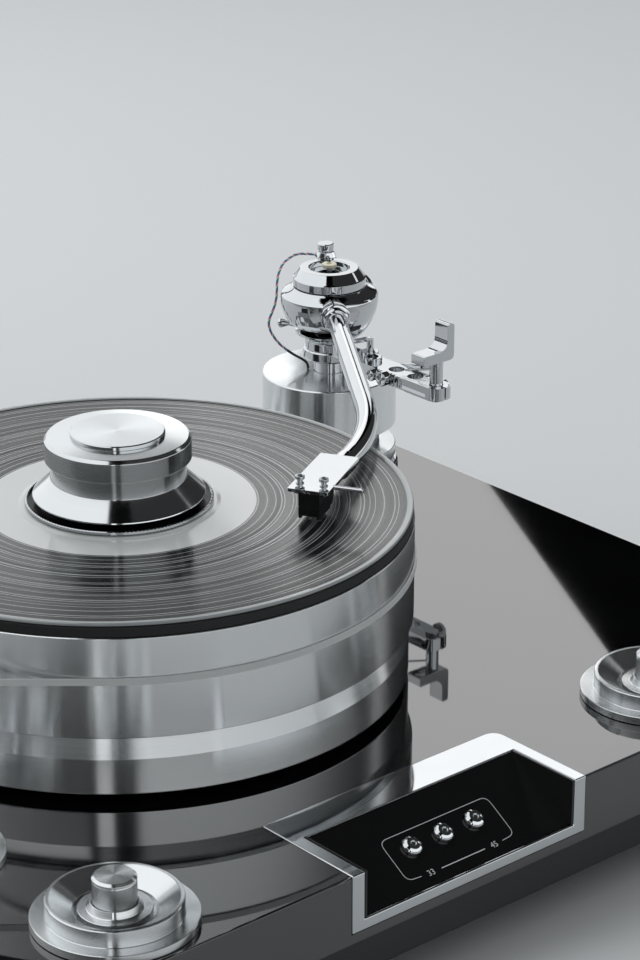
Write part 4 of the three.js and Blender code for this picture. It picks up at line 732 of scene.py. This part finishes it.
pod_ring = turned("pod_ring", [(18.3, 0.3), (42, 0.3), (42, 4, 0.5), (41, 5, 0.5), (18.3, 5), (18.3, 0.3)])
dressed(pod_ring, CHROME, "base", "chromed_metal", "pod_base_ring", at=PIVOT)
pod = turned("pod_turned", [
    (9.5, -18.3), (9.5, 61), (39.7, 61, 0.4), (40.4, 60.3, 0.4), (40.4, 29, 0.6), (30.5, 29), (30.5, 15),
    (40.4, 15, 0.6), (40.4, 8, 0.6), (37, 8), (37, 5.3), (18, 5.3), (18, -25), (0, -25), (0, -18.3),
    (9.5, -18.3)], 0.3, 192)
dressed(pod, POLISHED, "base", "polished_aluminium", "arm_pod", at=PIVOT)
pillar = turned("pillar_turned", [
    (0, -18), (9.2, -18), (9.2, 69.6), (15.2, 69.6, 0.5), (15.9, 70.5, 0.5), (15.9, 75.4, 0.4),
    (15.2, 76.2, 0.3), (14.6, 76.4, 0.1), (14.6, 81.2, 0.8), (18.2, 85.2, 0.4), (18.2, 85.4, 0.1), (8, 85.4),
    (8, 88.6), (3.5, 88.6), (3.5, 112), (0, 112)], 0.25, 96)
dressed(pillar, CHROME, "base", "chromed_metal", "arm_pillar", at=PIVOT)

LYING = Matrix.Rotation(math.radians(90), 4, "Y")
BALL_PLACE = (29.5, 0, 87.65)
ring_plate = turned("ring_plate", [
    (8.3, 85.7), (20.5, 85.7, 0.4), (20.5, 87.2, 0.4), (8.3, 87.2), (8.3, 85.7)], 0.2, 96)
ball = turned("ring_ball", [
    (0, -4.8), (0.9, -4.4), (1.7, -2.7), (2.6, -0.4), (2.9, 1.1), (2.3, 2.4), (0, 3)], 1.4, 32, 5)
lever_turn = Matrix.Rotation(math.radians(122.3), 4, "Z")
moved(ball, lever_turn @ Matrix.Translation(BALL_PLACE) @ LYING)
lever_stem = moved(rod("ring_stem", [(18.2, 0, 86.45), (24, 0, 86.9), BALL_PLACE], 0.8, 12), lever_turn)
dressed(gathered("lock_ring_turned", ring_plate, lever_stem, ball), CHROME, "lock", "chromed_metal",
        "lock_ring", at=PIVOT)

# Bracket, arm rest, cue lever and lift

LIFT_REACH = 42
LIFT_X = PIVOT_X + LIFT_REACH * math.cos(math.radians(264))
LIFT_Y = PIVOT_Y + LIFT_REACH * math.sin(math.radians(264))
BRACKET_X = 262
COLLAR_Y = 97.5
POST_Y = 43
bracket = slab("bracket_bar", [
    (262.4, 148, 0), (262.4, 118, 4), (254.25, 109, 4), (254.25, 35.25, 7.6), (269.75, 35.25, 7.6),
    (269.75, 148, 0)], 75.3, 83, 4)
carved(bracket, bar("lift_boss", 5.2, (LIFT_X, LIFT_Y, 75.3), (LIFT_X, LIFT_Y, 85.2), 0.3),
       bar("hole_collar", 5.4, (BRACKET_X, COLLAR_Y, 80), (BRACKET_X, COLLAR_Y, 85.4), 0.4), operation="UNION")
carved(
    bracket,
    bore(17, PIVOT_X, PIVOT_Y, 70, 90, 96),
    slab("pocket", [(248, 44, 0), (256.1, 44, 1), (256.1, 68, 1), (248, 68, 0)], 76.6, 81.7),
    block("groove_one", (248, 255.3), (70, 71.2), (74, 84)),
    block("groove_two", (248, 255.3), (72.6, 73.8), (74, 84)),
    bore(3.4, BRACKET_X, COLLAR_Y, 74, 90),
    bore(4.75, BRACKET_X, 76.7, 70, 90),
    bore(4.75, BRACKET_X, 60.7, 70, 90),
    bore(4.2, BRACKET_X, POST_Y, 70, 90),
    bore(2.3, LIFT_X, LIFT_Y, 70, 90),
    bar("cue_hole", 1.9, (248, 87, 79.2), (276, 87, 79.2), 0),
)
softened(bracket, 0.35, 2)
carved(bracket, block("clamp_slit", (261.5, 262.5), (30, 42), (70, 90)),
       bar("screw_hole", 1.9, (265, 47, 77.7), (276, 47, 77.7), 0))
dressed(smoothed(bracket), CHROME, "base", "chromed_metal", "lift_bracket")

screw_head = bar("screw_head", 5.1, (270.05, 47, 77.7), (272.65, 47, 77.7), 0.4)
screw_stem = bar("screw_stem", 1.6, (265.3, 47, 77.7), (270.3, 47, 77.7), 0.1)
dressed(gathered("rest_thumb_screw", screw_head, screw_stem), CHROME, "base", "chromed_metal", "rest_screw")

rest_profile = eased([
    (247.3, 104.2, 0.9), (265.6, 104.2, 9), (265.6, 119.8, 1.2), (270.7, 119.8, 1.6), (270.7, 98.1, 3.4),
    (247.3, 98.1, 0.9)], closed=True)
rest_hook = softened(extruded("rest_hook", [(x, 37.5, z) for x, z in rest_profile], (0, 11, 0)), 0.5)
rest_post = bar("rest_post", 3.9, (BRACKET_X, POST_Y, 73.3), (BRACKET_X, POST_Y, 98.6), 0.3)
rest_pin = bar("rest_pin", 0.6, (260, 44, 92.6), (247, 53.2, 92.6), 0.2, 16)
dressed(gathered("arm_rest_hook", rest_hook, rest_post, rest_pin), CHROME, "base", "chromed_metal", "arm_rest")

cue_slope = math.atan2(6.4, 23)
cue_outline = []
for start, y, z, radius in ((-math.pi / 2, 87, 79.2, 2.7), (math.pi / 2, 64, 85.6, 1.7)):
    for k in range(13):
        a = start - cue_slope + math.pi * k / 12
        cue_outline.append((270.05, y + radius * math.cos(a), z + radius * math.sin(a)))
cue_arm = softened(extruded("cue_arm", cue_outline + cue_outline[:1], (2.2, 0, 0)), 0.3, 2)
cue_shaft = bar("cue_shaft", 1.6, (249.95, 87, 79.2), (272.25, 87, 79.2), 0.1)
cue_hub = turned("cue_hub", [(0, 0), (3.6, 0, 0.5), (3.6, 4, 0.4), (0, 4)], 0.3, 64)
carved(cue_hub, block("cross_one", (-0.45, 0.45), (-2.6, 2.6), (-1, 0.9)),
       block("cross_two", (-2.6, 2.6), (-0.45, 0.45), (-1, 0.9)))
lift_screw = another(cue_hub, "lift_cross_screw")
moved(lift_screw, Matrix.Translation((249.4, 77, 79.6)) @ LYING @ Matrix.Diagonal((1.22, 1.22, 1.2, 1)))
dressed(smoothed(lift_screw), CHROME, "base", "chromed_metal")
moved(smoothed(cue_hub), Matrix.Translation((249.95, 87, 79.2)) @ LYING)
cue_pad = bar("cue_pad", 1.7, (270.05, 64, 85.6), (277.25, 64, 85.6), 0.7)
dressed(gathered("cue_lever_piece", cue_arm, cue_shaft, cue_hub, cue_pad), CHROME, "lever", "chromed_metal",
        "cue_lever")

arc = [math.radians(222 + 42 * k / 24) for k in range(25)]
platform_plan = [(44 * math.cos(a), 44 * math.sin(a)) for a in arc]
platform_plan += [(40 * math.cos(a), 40 * math.sin(a)) for a in reversed(arc)]
platform = extruded("platform", [(x, y, 92) for x, y in platform_plan + platform_plan[:1]], (0, 0, 1.8))
softened(platform, 0.4)
lift_x, lift_y = LIFT_REACH * math.cos(arc[-1]), LIFT_REACH * math.sin(arc[-1])
lift_post = bar("lift_post", 2, (lift_x, lift_y, 75.8), (lift_x, lift_y, 92.6), 0.1)
dressed(gathered("lift_platform_arc", platform, lift_post), CHROME, "lift", "chromed_metal", "lift_platform",
        at=PIVOT)

# Tonearm: built along x from its pivot, then turned to where it plays

ARM = PIVOT @ Matrix.Rotation(math.radians(235.1), 4, "Z")
TUBE_HEIGHT = 105
TUBE_AXIS = Matrix.Translation((0, 0, TUBE_HEIGHT)) @ LYING
TRUNNION_HEIGHT = 108
yoke = turned("yoke_turned", [
    (3.8, 95), (6.5, 95), (6.5, 115), (3.2, 115), (3.2, 121), (1.6, 121.6), (1.6, 126.6), (0, 126.6),
    (0, 112.3), (3.8, 112.3), (3.8, 95)], 0.2, 48)
trunnions = [bar("trunnion", 1.5, (0, way * 5.2, TRUNNION_HEIGHT), (0, way * 13.5, TRUNNION_HEIGHT), 0.1, 24)
             for way in (1, -1)]
dressed(gathered("yoke_body", yoke, *trunnions), STEEL, "yoke", "satin_steel", "arm_yoke", at=ARM)
washer = turned("yoke_washer", [
    (0, 126.3), (4.4, 126.3), (4.4, 128.1, 0.6), (1.5, 128.3, 0.2), (1.5, 127.6, 0.1), (0, 127.6)], 0.3, 48)
dressed(washer, IVORY, "yoke", "satin_steel", at=ARM)

bowl = turned("bowl_turned", [
    (8.5, 89.6), (17.5, 89.6), (19, 89.75), (21.3, 90.7), (23.4, 92.1), (25.2, 93.9), (26.8, 96.2),
    (28.1, 99.2), (29, 102.4), (29.4, 105.5), (29.4, 108.4), (29.2, 109.7), (28.5, 110.9), (27.4, 111.8),
    (26, 112.6), (22.9, 114.2), (22.4, 115), (8.5, 115), (8.5, 89.6)], 1.2, 192, 2)
# The bowl has a flat milled on it, where the tube's collar seats
carved(bowl, block("tube_flat", (25.4, 40), (-20, 20), (80, 109.4)))
smoothed(bowl)
boss = turned("bowl_boss", [
    (0, 24), (8.7, 24), (8.7, 28.4, 0.6), (7.9, 28.8, 0.1), (7.9, 31.5, 0.5), (0, 31.5)], 0.3, 96)
moved(boss, TUBE_AXIS)
stub = bar("bowl_stub", 4, (-70, 0, 101), (-24, 0, 101), 0.6)
dressed(gathered("bearing_bowl_turned", bowl, boss, stub), CHROME, "arm", "chromed_metal", "bearing_bowl",
        at=ARM)
cap = turned("cap_turned", [
    (8.5, 115.3), (21.4, 115.3, 0.2), (21.8, 115.8, 0.3), (21.8, 120.2, 0.2), (21, 120.8, 0.3),
    (17.4, 126, 0.5), (12.5, 126, 0.4), (12.1, 125.4, 0.2), (12.1, 122.6, 0.3), (6.4, 122.4, 0.2),
    (6.4, 121.4), (8.5, 121.2), (8.5, 115.3)], 0.2, 160)
dressed(cap, CHROME, "arm", "chromed_metal", "bearing_cap", at=ARM)

BEND_X = 217
bend = math.radians(24.5)


def forward(distance, height):
    """A point of the arm's line beyond the bend."""
    return Vector((BEND_X + distance * math.cos(bend), -distance * math.sin(bend), height))


bend_in = Vector((175, 0, TUBE_HEIGHT))
bend_middle = Vector((BEND_X, 0, TUBE_HEIGHT))
bend_out = forward(37, 105.3)
tube_line = [Vector((31.8, 0, TUBE_HEIGHT)), Vector((34, 0, TUBE_HEIGHT)), bend_in - Vector((4, 0, 0))]
for k in range(41):
    t = k / 40
    tube_line.append((1 - t) ** 2 * bend_in + 2 * t * (1 - t) * bend_middle + t ** 2 * bend_out)
tube_line += [forward(39, 105.33), forward(53.3, 105.7)]
arm_tube = rod("tube_bent", tube_line, 5.75, 64)
tube_rings = turned("tube_rings", [
    (0, 31.8), (8.9, 31.8, 0.5), (8.9, 34.8, 1.1), (7.4, 35.2, 0.1), (7.4, 38, 0.9), (6.6, 38.9, 0.4),
    (0, 39)], 0.3, 96)
moved(tube_rings, TUBE_AXIS)
ferrule = bar("tube_ferrule", 6.25, forward(48.3, 105.6), forward(59.6, 105.9), 0.5)
dressed(gathered("arm_tube_bent", arm_tube, tube_rings, ferrule), CHROME, "arm", "chromed_metal", "arm_tube",
        at=ARM)

weight = turned("weight_turned", [
    (0, -14), (16.6, -14, 0.8), (18, -12.6, 0.6), (18, 12.6, 0.6), (16.6, 14, 0.8), (0, 14)], 0.4)
moved(weight, Matrix.Translation((-49, 0, 89.5)) @ LYING)
carved(weight, bar("weight_bore", 4.3, (-80, 0, 101), (-20, 0, 101), 0))
dressed(smoothed(weight), STEEL, "balance_weight", "satin_steel", "counterweight", at=ARM)

# Headshell, cartridge and stylus

HEAD = ARM @ Matrix.Translation(forward(60.6, 0)) @ Matrix.Rotation(-bend, 4, "Z")
shell = slab("shell_plate", [(0, -9.5, 0.6), (51.1, -10.3, 0.6), (51.1, 11.2, 0.6), (0, 11.4, 0.6)], 112.2, 114)
softened(shell, 0.3, 2)
socket = bar("shell_socket", 5, (-7, 0, 106), (3, 0, 106.2), 0.4)
shell_block = softened(block("shell_block", (-3, 12), (-5.4, 6), (106.4, 112.4), 0.6), 0.4, 2)
dressed(gathered("headshell_plate", shell, socket, shell_block), CHROME, "arm", "chromed_metal", "headshell",
        at=HEAD)

body_side = eased([
    (25, 111.9, 0.4), (25, 102.4, 0.8), (27.6, 98.7, 0.8), (48.4, 98.7, 0.5), (48.4, 111.9, 0.4)], closed=True)
cartridge = softened(extruded("cartridge_body", [(x, -5.3, z) for x, z in body_side], (0, 11.2, 0)), 0.35, 2)
SEAM = (103.4, 103.8)
carved(cartridge, block("seam", (20, 60), (-9, -4.95), SEAM), block("seam", (20, 60), (5.55, 9), SEAM),
       block("seam", (48.05, 60), (-9, 9), SEAM))
ears = softened(block("cartridge_ears", (37, 47), (-8.4, 8.4), (109.8, 112), 1.5), 0.3, 2)
skirts = [softened(block("cartridge_skirt", (30, 48.3), (y - 0.7, y + 0.7), (97.4, 99), 0.3), 0.2, 2)
          for y in (-4.6, 5.1)]
dressed(gathered("cartridge_body", smoothed(cartridge), ears, *skirts), CARTRIDGE, "arm", "cartridge_black",
        "cartridge", at=HEAD)
TAG_PLACES = (-3.6, -1.2, 1.4, 3.9)
tags = [rod("tag", through([(26, y, 107), (21.5, y, 106.4), (17, y * 1.2, 107), (11.5, y, 109)]), 0.42, 12)
        for y in TAG_PLACES]
clips = [bar("clip", 0.8, (25.2, y, 107), (20.6, y, 106.4), 0.15, 24) for y in TAG_PLACES]
dressed(gathered("cartridge_tags", *tags, *clips), STEEL, "arm", "satin_steel", at=HEAD)
holder = softened(block("stylus_holder", (29.5, 40.5), (-3, 3), (97.2, 98.4), 0.3), 0.2, 2)
cantilever = bar("cantilever", 0.35, (38, 0, 97.7), (46.6, 0, 97), 0.1, 16)
needle = turned("needle", [(0, 96.15), (0.35, 96.8), (0.35, 97.1), (0, 97.1)], 0.05, 16)
moved(needle, Matrix.Translation((46.3, 0, 0)))
dressed(gathered("stylus_assembly", holder, cantilever, needle), STEEL, "arm", "satin_steel", "stylus",
        at=HEAD)

for name, y in (("outer", 6.35), ("inner", -6.35)):
    head = turned("screw_" + name, [
        (0, 108.5), (1.2, 108.5), (1.2, 114.05), (2.1, 114.05, 0.1), (2.1, 114.5, 0.1), (1.4, 114.8, 0.2),
        (1.4, 116.2, 0.2), (2.5, 116.5, 0.3), (2.5, 118.3, 0.5), (1.2, 118.5, 0.1), (1.2, 117.3, 0.1),
        (0, 117.3)], 0.1, 48)
    dressed(head, STEEL, "arm", "satin_steel", "headshell_screw_" + name,
            at=HEAD @ Matrix.Translation((42.7, y, 0)))
lift_rod = bar("lift_rod", 1.2, (40.6, 10.6, 113.1), (40.6, 26.6, 113.1), 0.4, 32)
lift_pad = bar("lift_pad", 1.4, (40.6, 24.4, 113.1), (40.6, 26.6, 113.1), 0.6, 32)
dressed(gathered("finger_lift_rod", lift_rod, lift_pad), CHROME, "arm", "chromed_metal", "finger_lift", at=HEAD)

# Tonearm lead and its post

POST_TURN = math.radians(53.7)
POST_REACH = 33.7


def round_pivot(reach, angle, height):
    return Vector((reach * math.cos(angle), reach * math.sin(angle), height))


post_line = through([
    round_pivot(15.7, 0, 79.6), round_pivot(24.5, 0, 79.6), round_pivot(POST_REACH, 0, 88.8),
    round_pivot(POST_REACH, 0, 104), round_pivot(POST_REACH, POST_TURN / 6, 110.53),
    round_pivot(POST_REACH, POST_TURN / 2, 113.8), round_pivot(27, POST_TURN, 125)], 8)
post_rod = rod("post_rod", post_line, 1.9, 24)
post_head = turned("post_head", [
    (0, 123.6), (6.2, 123.6, 0.3), (6.4, 124.3, 0.3), (5.1, 127.3, 0.3), (4.2, 127.6, 0.1), (4.2, 128.1, 0.1),
    (4.9, 128.2, 0.2), (4.9, 131.9, 0.4), (4.4, 132.4, 0.3), (0, 132.4)], 0.3, 72)
moved(post_head, Matrix.Translation(round_pivot(27, POST_TURN, 0)))
dressed(gathered("lead_post_bent", post_rod, post_head), CHROME, "base", "chromed_metal", "lead_post", at=PIVOT)

guide_line = through([round_pivot(reach, POST_TURN, height) for reach, height in (
    (21.2, 125.2), (15, 127.4), (8, 130), (2.5, 130.6), (0.4, 128.9))])
dressed(rod("pivot_wire_guide", guide_line, 0.45, 12), SLEEVE, "base", "lead_cover", at=PIVOT)
LEAD_ROUTE = [
    (11.3, 25.9, 125), (5, 30.1, 125.7), (0, 30.8, 126), (-7, 29, 125.6), (-13, 27, 124.3), (-17, 25.2, 122),
    (-20, 23.7, 119), (-22, 22.4, 115), (-23.2, 21.2, 111), (-24.2, 20.6, 106.5), (-25.4, 20.5, 102.5),
    (-27, 20.9, 98.5), (-28.3, 21.8, 94.5), (-28.8, 22.2, 91), (-28.1, 21.7, 86.5), (-26.3, 20.2, 82),
    (-23.4, 18.4, 77.5), (-19.5, 16.4, 73.4), (-15.3, 14, 69.8), (-11.6, 11.3, 67), (-9.6, 9.6, 64.6),
    (-9, 9, 61.3),
]
# One turn of the twist, how far each wire lies from the middle, and how many points at the end are sleeved
LEAD_LAY = 5.2
STRAND_OUT = 0.42
SLEEVED_POINTS = 33
lead_line = through(LEAD_ROUTE, 8)
across = Vector((0, 0, 1))
strands = {colour: [] for colour in WIRES}
travelled = 0
for i, point in enumerate(lead_line):
    along = (lead_line[min(i + 1, len(lead_line) - 1)] - lead_line[max(i - 1, 0)]).normalized()
    across = (across - along * across.dot(along)).normalized()
    other = along.cross(across)
    if i:
        travelled += (point - lead_line[i - 1]).length
    for k, strand in enumerate(strands.values()):
        angle = math.tau * (travelled / LEAD_LAY + k / 4)
        strand.append(point + STRAND_OUT * (math.cos(angle) * across + math.sin(angle) * other))
sleeved = len(lead_line) - SLEEVED_POINTS
pieces = [rod("lead_" + colour, line[:sleeved + 2], 0.38, 8) for colour, line in strands.items()]
pieces.append(rod("lead_sleeve", lead_line[sleeved:], 0.8, 12))
for piece, cover in zip(pieces, (*WIRES.values(), SLEEVE)):
    piece.data.materials.append(cover)
lead = gathered("twisted_lead", *pieces)
lead_place = ON_DECK @ PIVOT
moved(lead, lead_place)
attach(lead, "base")
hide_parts("tonearm_lead")

# CAD nodes that stay, inside or behind

for name, finish in (("circuit_board", BOARD), ("rear_socket_plate", STEEL), ("bearing_housing", STEEL),
                     ("bearing_ball", STEEL), ("motor", STEEL)):
    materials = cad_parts[name].data.materials
    materials.clear()
    materials.append(finish)

# Floor, backdrop and light

bpy.ops.object.select_all(action="DESELECT")
bpy.ops.mesh.primitive_plane_add(size=16, location=(0, 0, 0))
floor = bpy.context.object
floor.name = "studio_floor"
paper = begun("pale_floor_paper")
closed(paper, add(paper, "ShaderNodeBsdfPrincipled", {"Base Color": linear(0xDDE0E2), "Roughness": 0.9}))
floor.data.materials.append(paper)

# Directions of the room: to the right of the view, a little nearer the front than that, and up, tipped away
# from the camera
RIGHT_OF_VIEW = (0.755, -0.656, 0)
RIGHT_FRONT = (0.68, -0.743, 0)
TIPPED_UP = (0.295, 0.34, 1)
PALE, DIM, DARK = 0.82, 0.36, 0.04

world = bpy.data.worlds.new("studio")
bpy.context.scene.world = world
world.use_nodes = True
world.node_tree.nodes.clear()
direction = add(world, "ShaderNodeTexCoord", {}).outputs["Generated"]
height = add(world, "ShaderNodeSeparateXYZ", {"Vector": direction}).outputs["Z"]
tipped = add(world, "ShaderNodeVectorMath", {0: direction, 1: TIPPED_UP}, operation="DOT_PRODUCT")
side = add(world, "ShaderNodeVectorMath", {0: direction, 1: RIGHT_OF_VIEW}, operation="DOT_PRODUCT")
flank = add(world, "ShaderNodeVectorMath", {0: direction, 1: RIGHT_FRONT}, operation="DOT_PRODUCT")
# What metal mirrors: a white screen low down on the right, under a dark studio
sky = add(world, "ShaderNodeMapRange", {
    "Value": tipped, "From Min": 0.33, "From Max": 0.43, "To Min": 1.5, "To Max": DARK},
    interpolation_type="SMOOTHSTEP")
flank = add(world, "ShaderNodeMapRange", {
    "Value": flank, "From Min": 0.2, "From Max": 0.26, "To Min": DARK, "To Max": 1},
    interpolation_type="SMOOTHSTEP")
low_light = add(world, "ShaderNodeMath", {0: sky, 1: flank}, operation="MULTIPLY")
# And a tall white screen on the left, which comes round to the front at its foot and leans over the deck behind
near_edge = add(world, "ShaderNodeMapRange", {
    "Value": height, "From Min": 0.42, "From Max": 0.47, "To Min": -0.01, "To Max": -0.14})
foot_edge = add(world, "ShaderNodeMapRange", {
    "Value": height, "From Min": 0.26, "From Max": 0.29, "To Min": 0.3, "To Max": 0})
edge = add(world, "ShaderNodeMath", {0: near_edge, 1: foot_edge}, operation="ADD")
inside = add(world, "ShaderNodeMath", {0: edge, 1: side}, operation="SUBTRACT")
inside = add(world, "ShaderNodeMapRange", {"Value": inside, "From Min": 0, "From Max": 0.03})
white = add(world, "ShaderNodeMapRange", {
    "Value": tipped, "From Min": 0.2, "From Max": 0.28, "To Min": 0, "To Max": 1.4})
screens = add(world, "ShaderNodeMath", {0: inside, 1: white, 2: low_light}, operation="MULTIPLY_ADD")
# The camera and glass see a plain pale backdrop, and everything else is lit by a dim one
rays = add(world, "ShaderNodeLightPath", {}).outputs
seen = add(world, "ShaderNodeMath", {0: rays["Is Camera Ray"], 1: rays["Is Transmission Ray"]},
           operation="MAXIMUM")
strength = add(world, "ShaderNodeMix", {"Factor": rays["Is Glossy Ray"], "A": DIM, "B": screens})
strength = add(world, "ShaderNodeMix", {"Factor": seen, "A": strength, "B": PALE})
backdrop = add(world, "ShaderNodeBackground", {"Color": linear(0xF2F4F5), "Strength": strength})
add(world, "ShaderNodeOutputWorld", {"Surface": backdrop})


def softbox(name, place, turn, tilt, width, height, brightness, far=1.0, mirrored=True):
    """A large soft lamp. Its place is metres from the platter's axis. It faces down, is turned about the
    upright axis, and is then tilted up towards the deck. A far below 1 is how much dimmer its far end is, and
    such a lamp is only for the metal to mirror."""
    bpy.ops.object.select_all(action="DESELECT")
    bpy.ops.object.light_add(type="AREA", location=DECK + Vector(place))
    lamp = bpy.context.object
    lamp.name = name
    lamp.data.shape = "RECTANGLE"
    lamp.data.size = width
    lamp.data.size_y = height
    lamp.data.energy = brightness * math.pi * width * height
    lamp.rotation_euler = (-math.radians(tilt), 0, math.radians(turn))
    lamp.visible_camera = False
    lamp.visible_glossy = mirrored
    if far != 1.0:
        lamp.visible_diffuse = False
        lamp.data.use_nodes = True
        lamp.data.node_tree.nodes.clear()
        spot = add(lamp.data, "ShaderNodeNewGeometry", {})
        across = add(lamp.data, "ShaderNodeSeparateXYZ", {"Vector": spot.outputs["Parametric"]})
        fall = add(lamp.data, "ShaderNodeMapRange", {"Value": across.outputs["Y"], "To Min": 1, "To Max": far})
        glow = add(lamp.data, "ShaderNodeEmission", {"Strength": fall})
        add(lamp.data, "ShaderNodeOutputLight", {"Surface": glow})


def round_about(azimuth, reach, height):
    """A place round the platter's axis. Azimuths are counted from the way the camera looks, anticlockwise seen
    from above."""
    angle = math.radians(VIEW_TURN + azimuth)
    return (reach * math.cos(angle), reach * math.sin(angle), height)


softbox("back_softbox", (2.204, 2.382, 1.2), -28.7, 0, 0.52, 2.6, 1.6, 0.6)
softbox("left_softbox", round_about(54, 1.7, 0.9), CAMERA_TURN + 54, 75, 2.2, 1.5, 0.8, mirrored=False)
softbox("top_softbox", round_about(0, 0.75, 1.5), CAMERA_TURN, 27, 1.2, 1.1, 0.8, mirrored=False)
softbox("front_strip", round_about(-184, 1.6, 0.6), CAMERA_TURN - 184, 75, 0.16, 1.2, 1.8)
softbox("floor_light", round_about(10, 1.6, 2.8), CAMERA_TURN, 10, 2.6, 2.6, 1.6, mirrored=False)
softbox("right_strip", round_about(-62, 1.5, 0.5), CAMERA_TURN - 62, 80, 0.16, 1.0, 1.1)
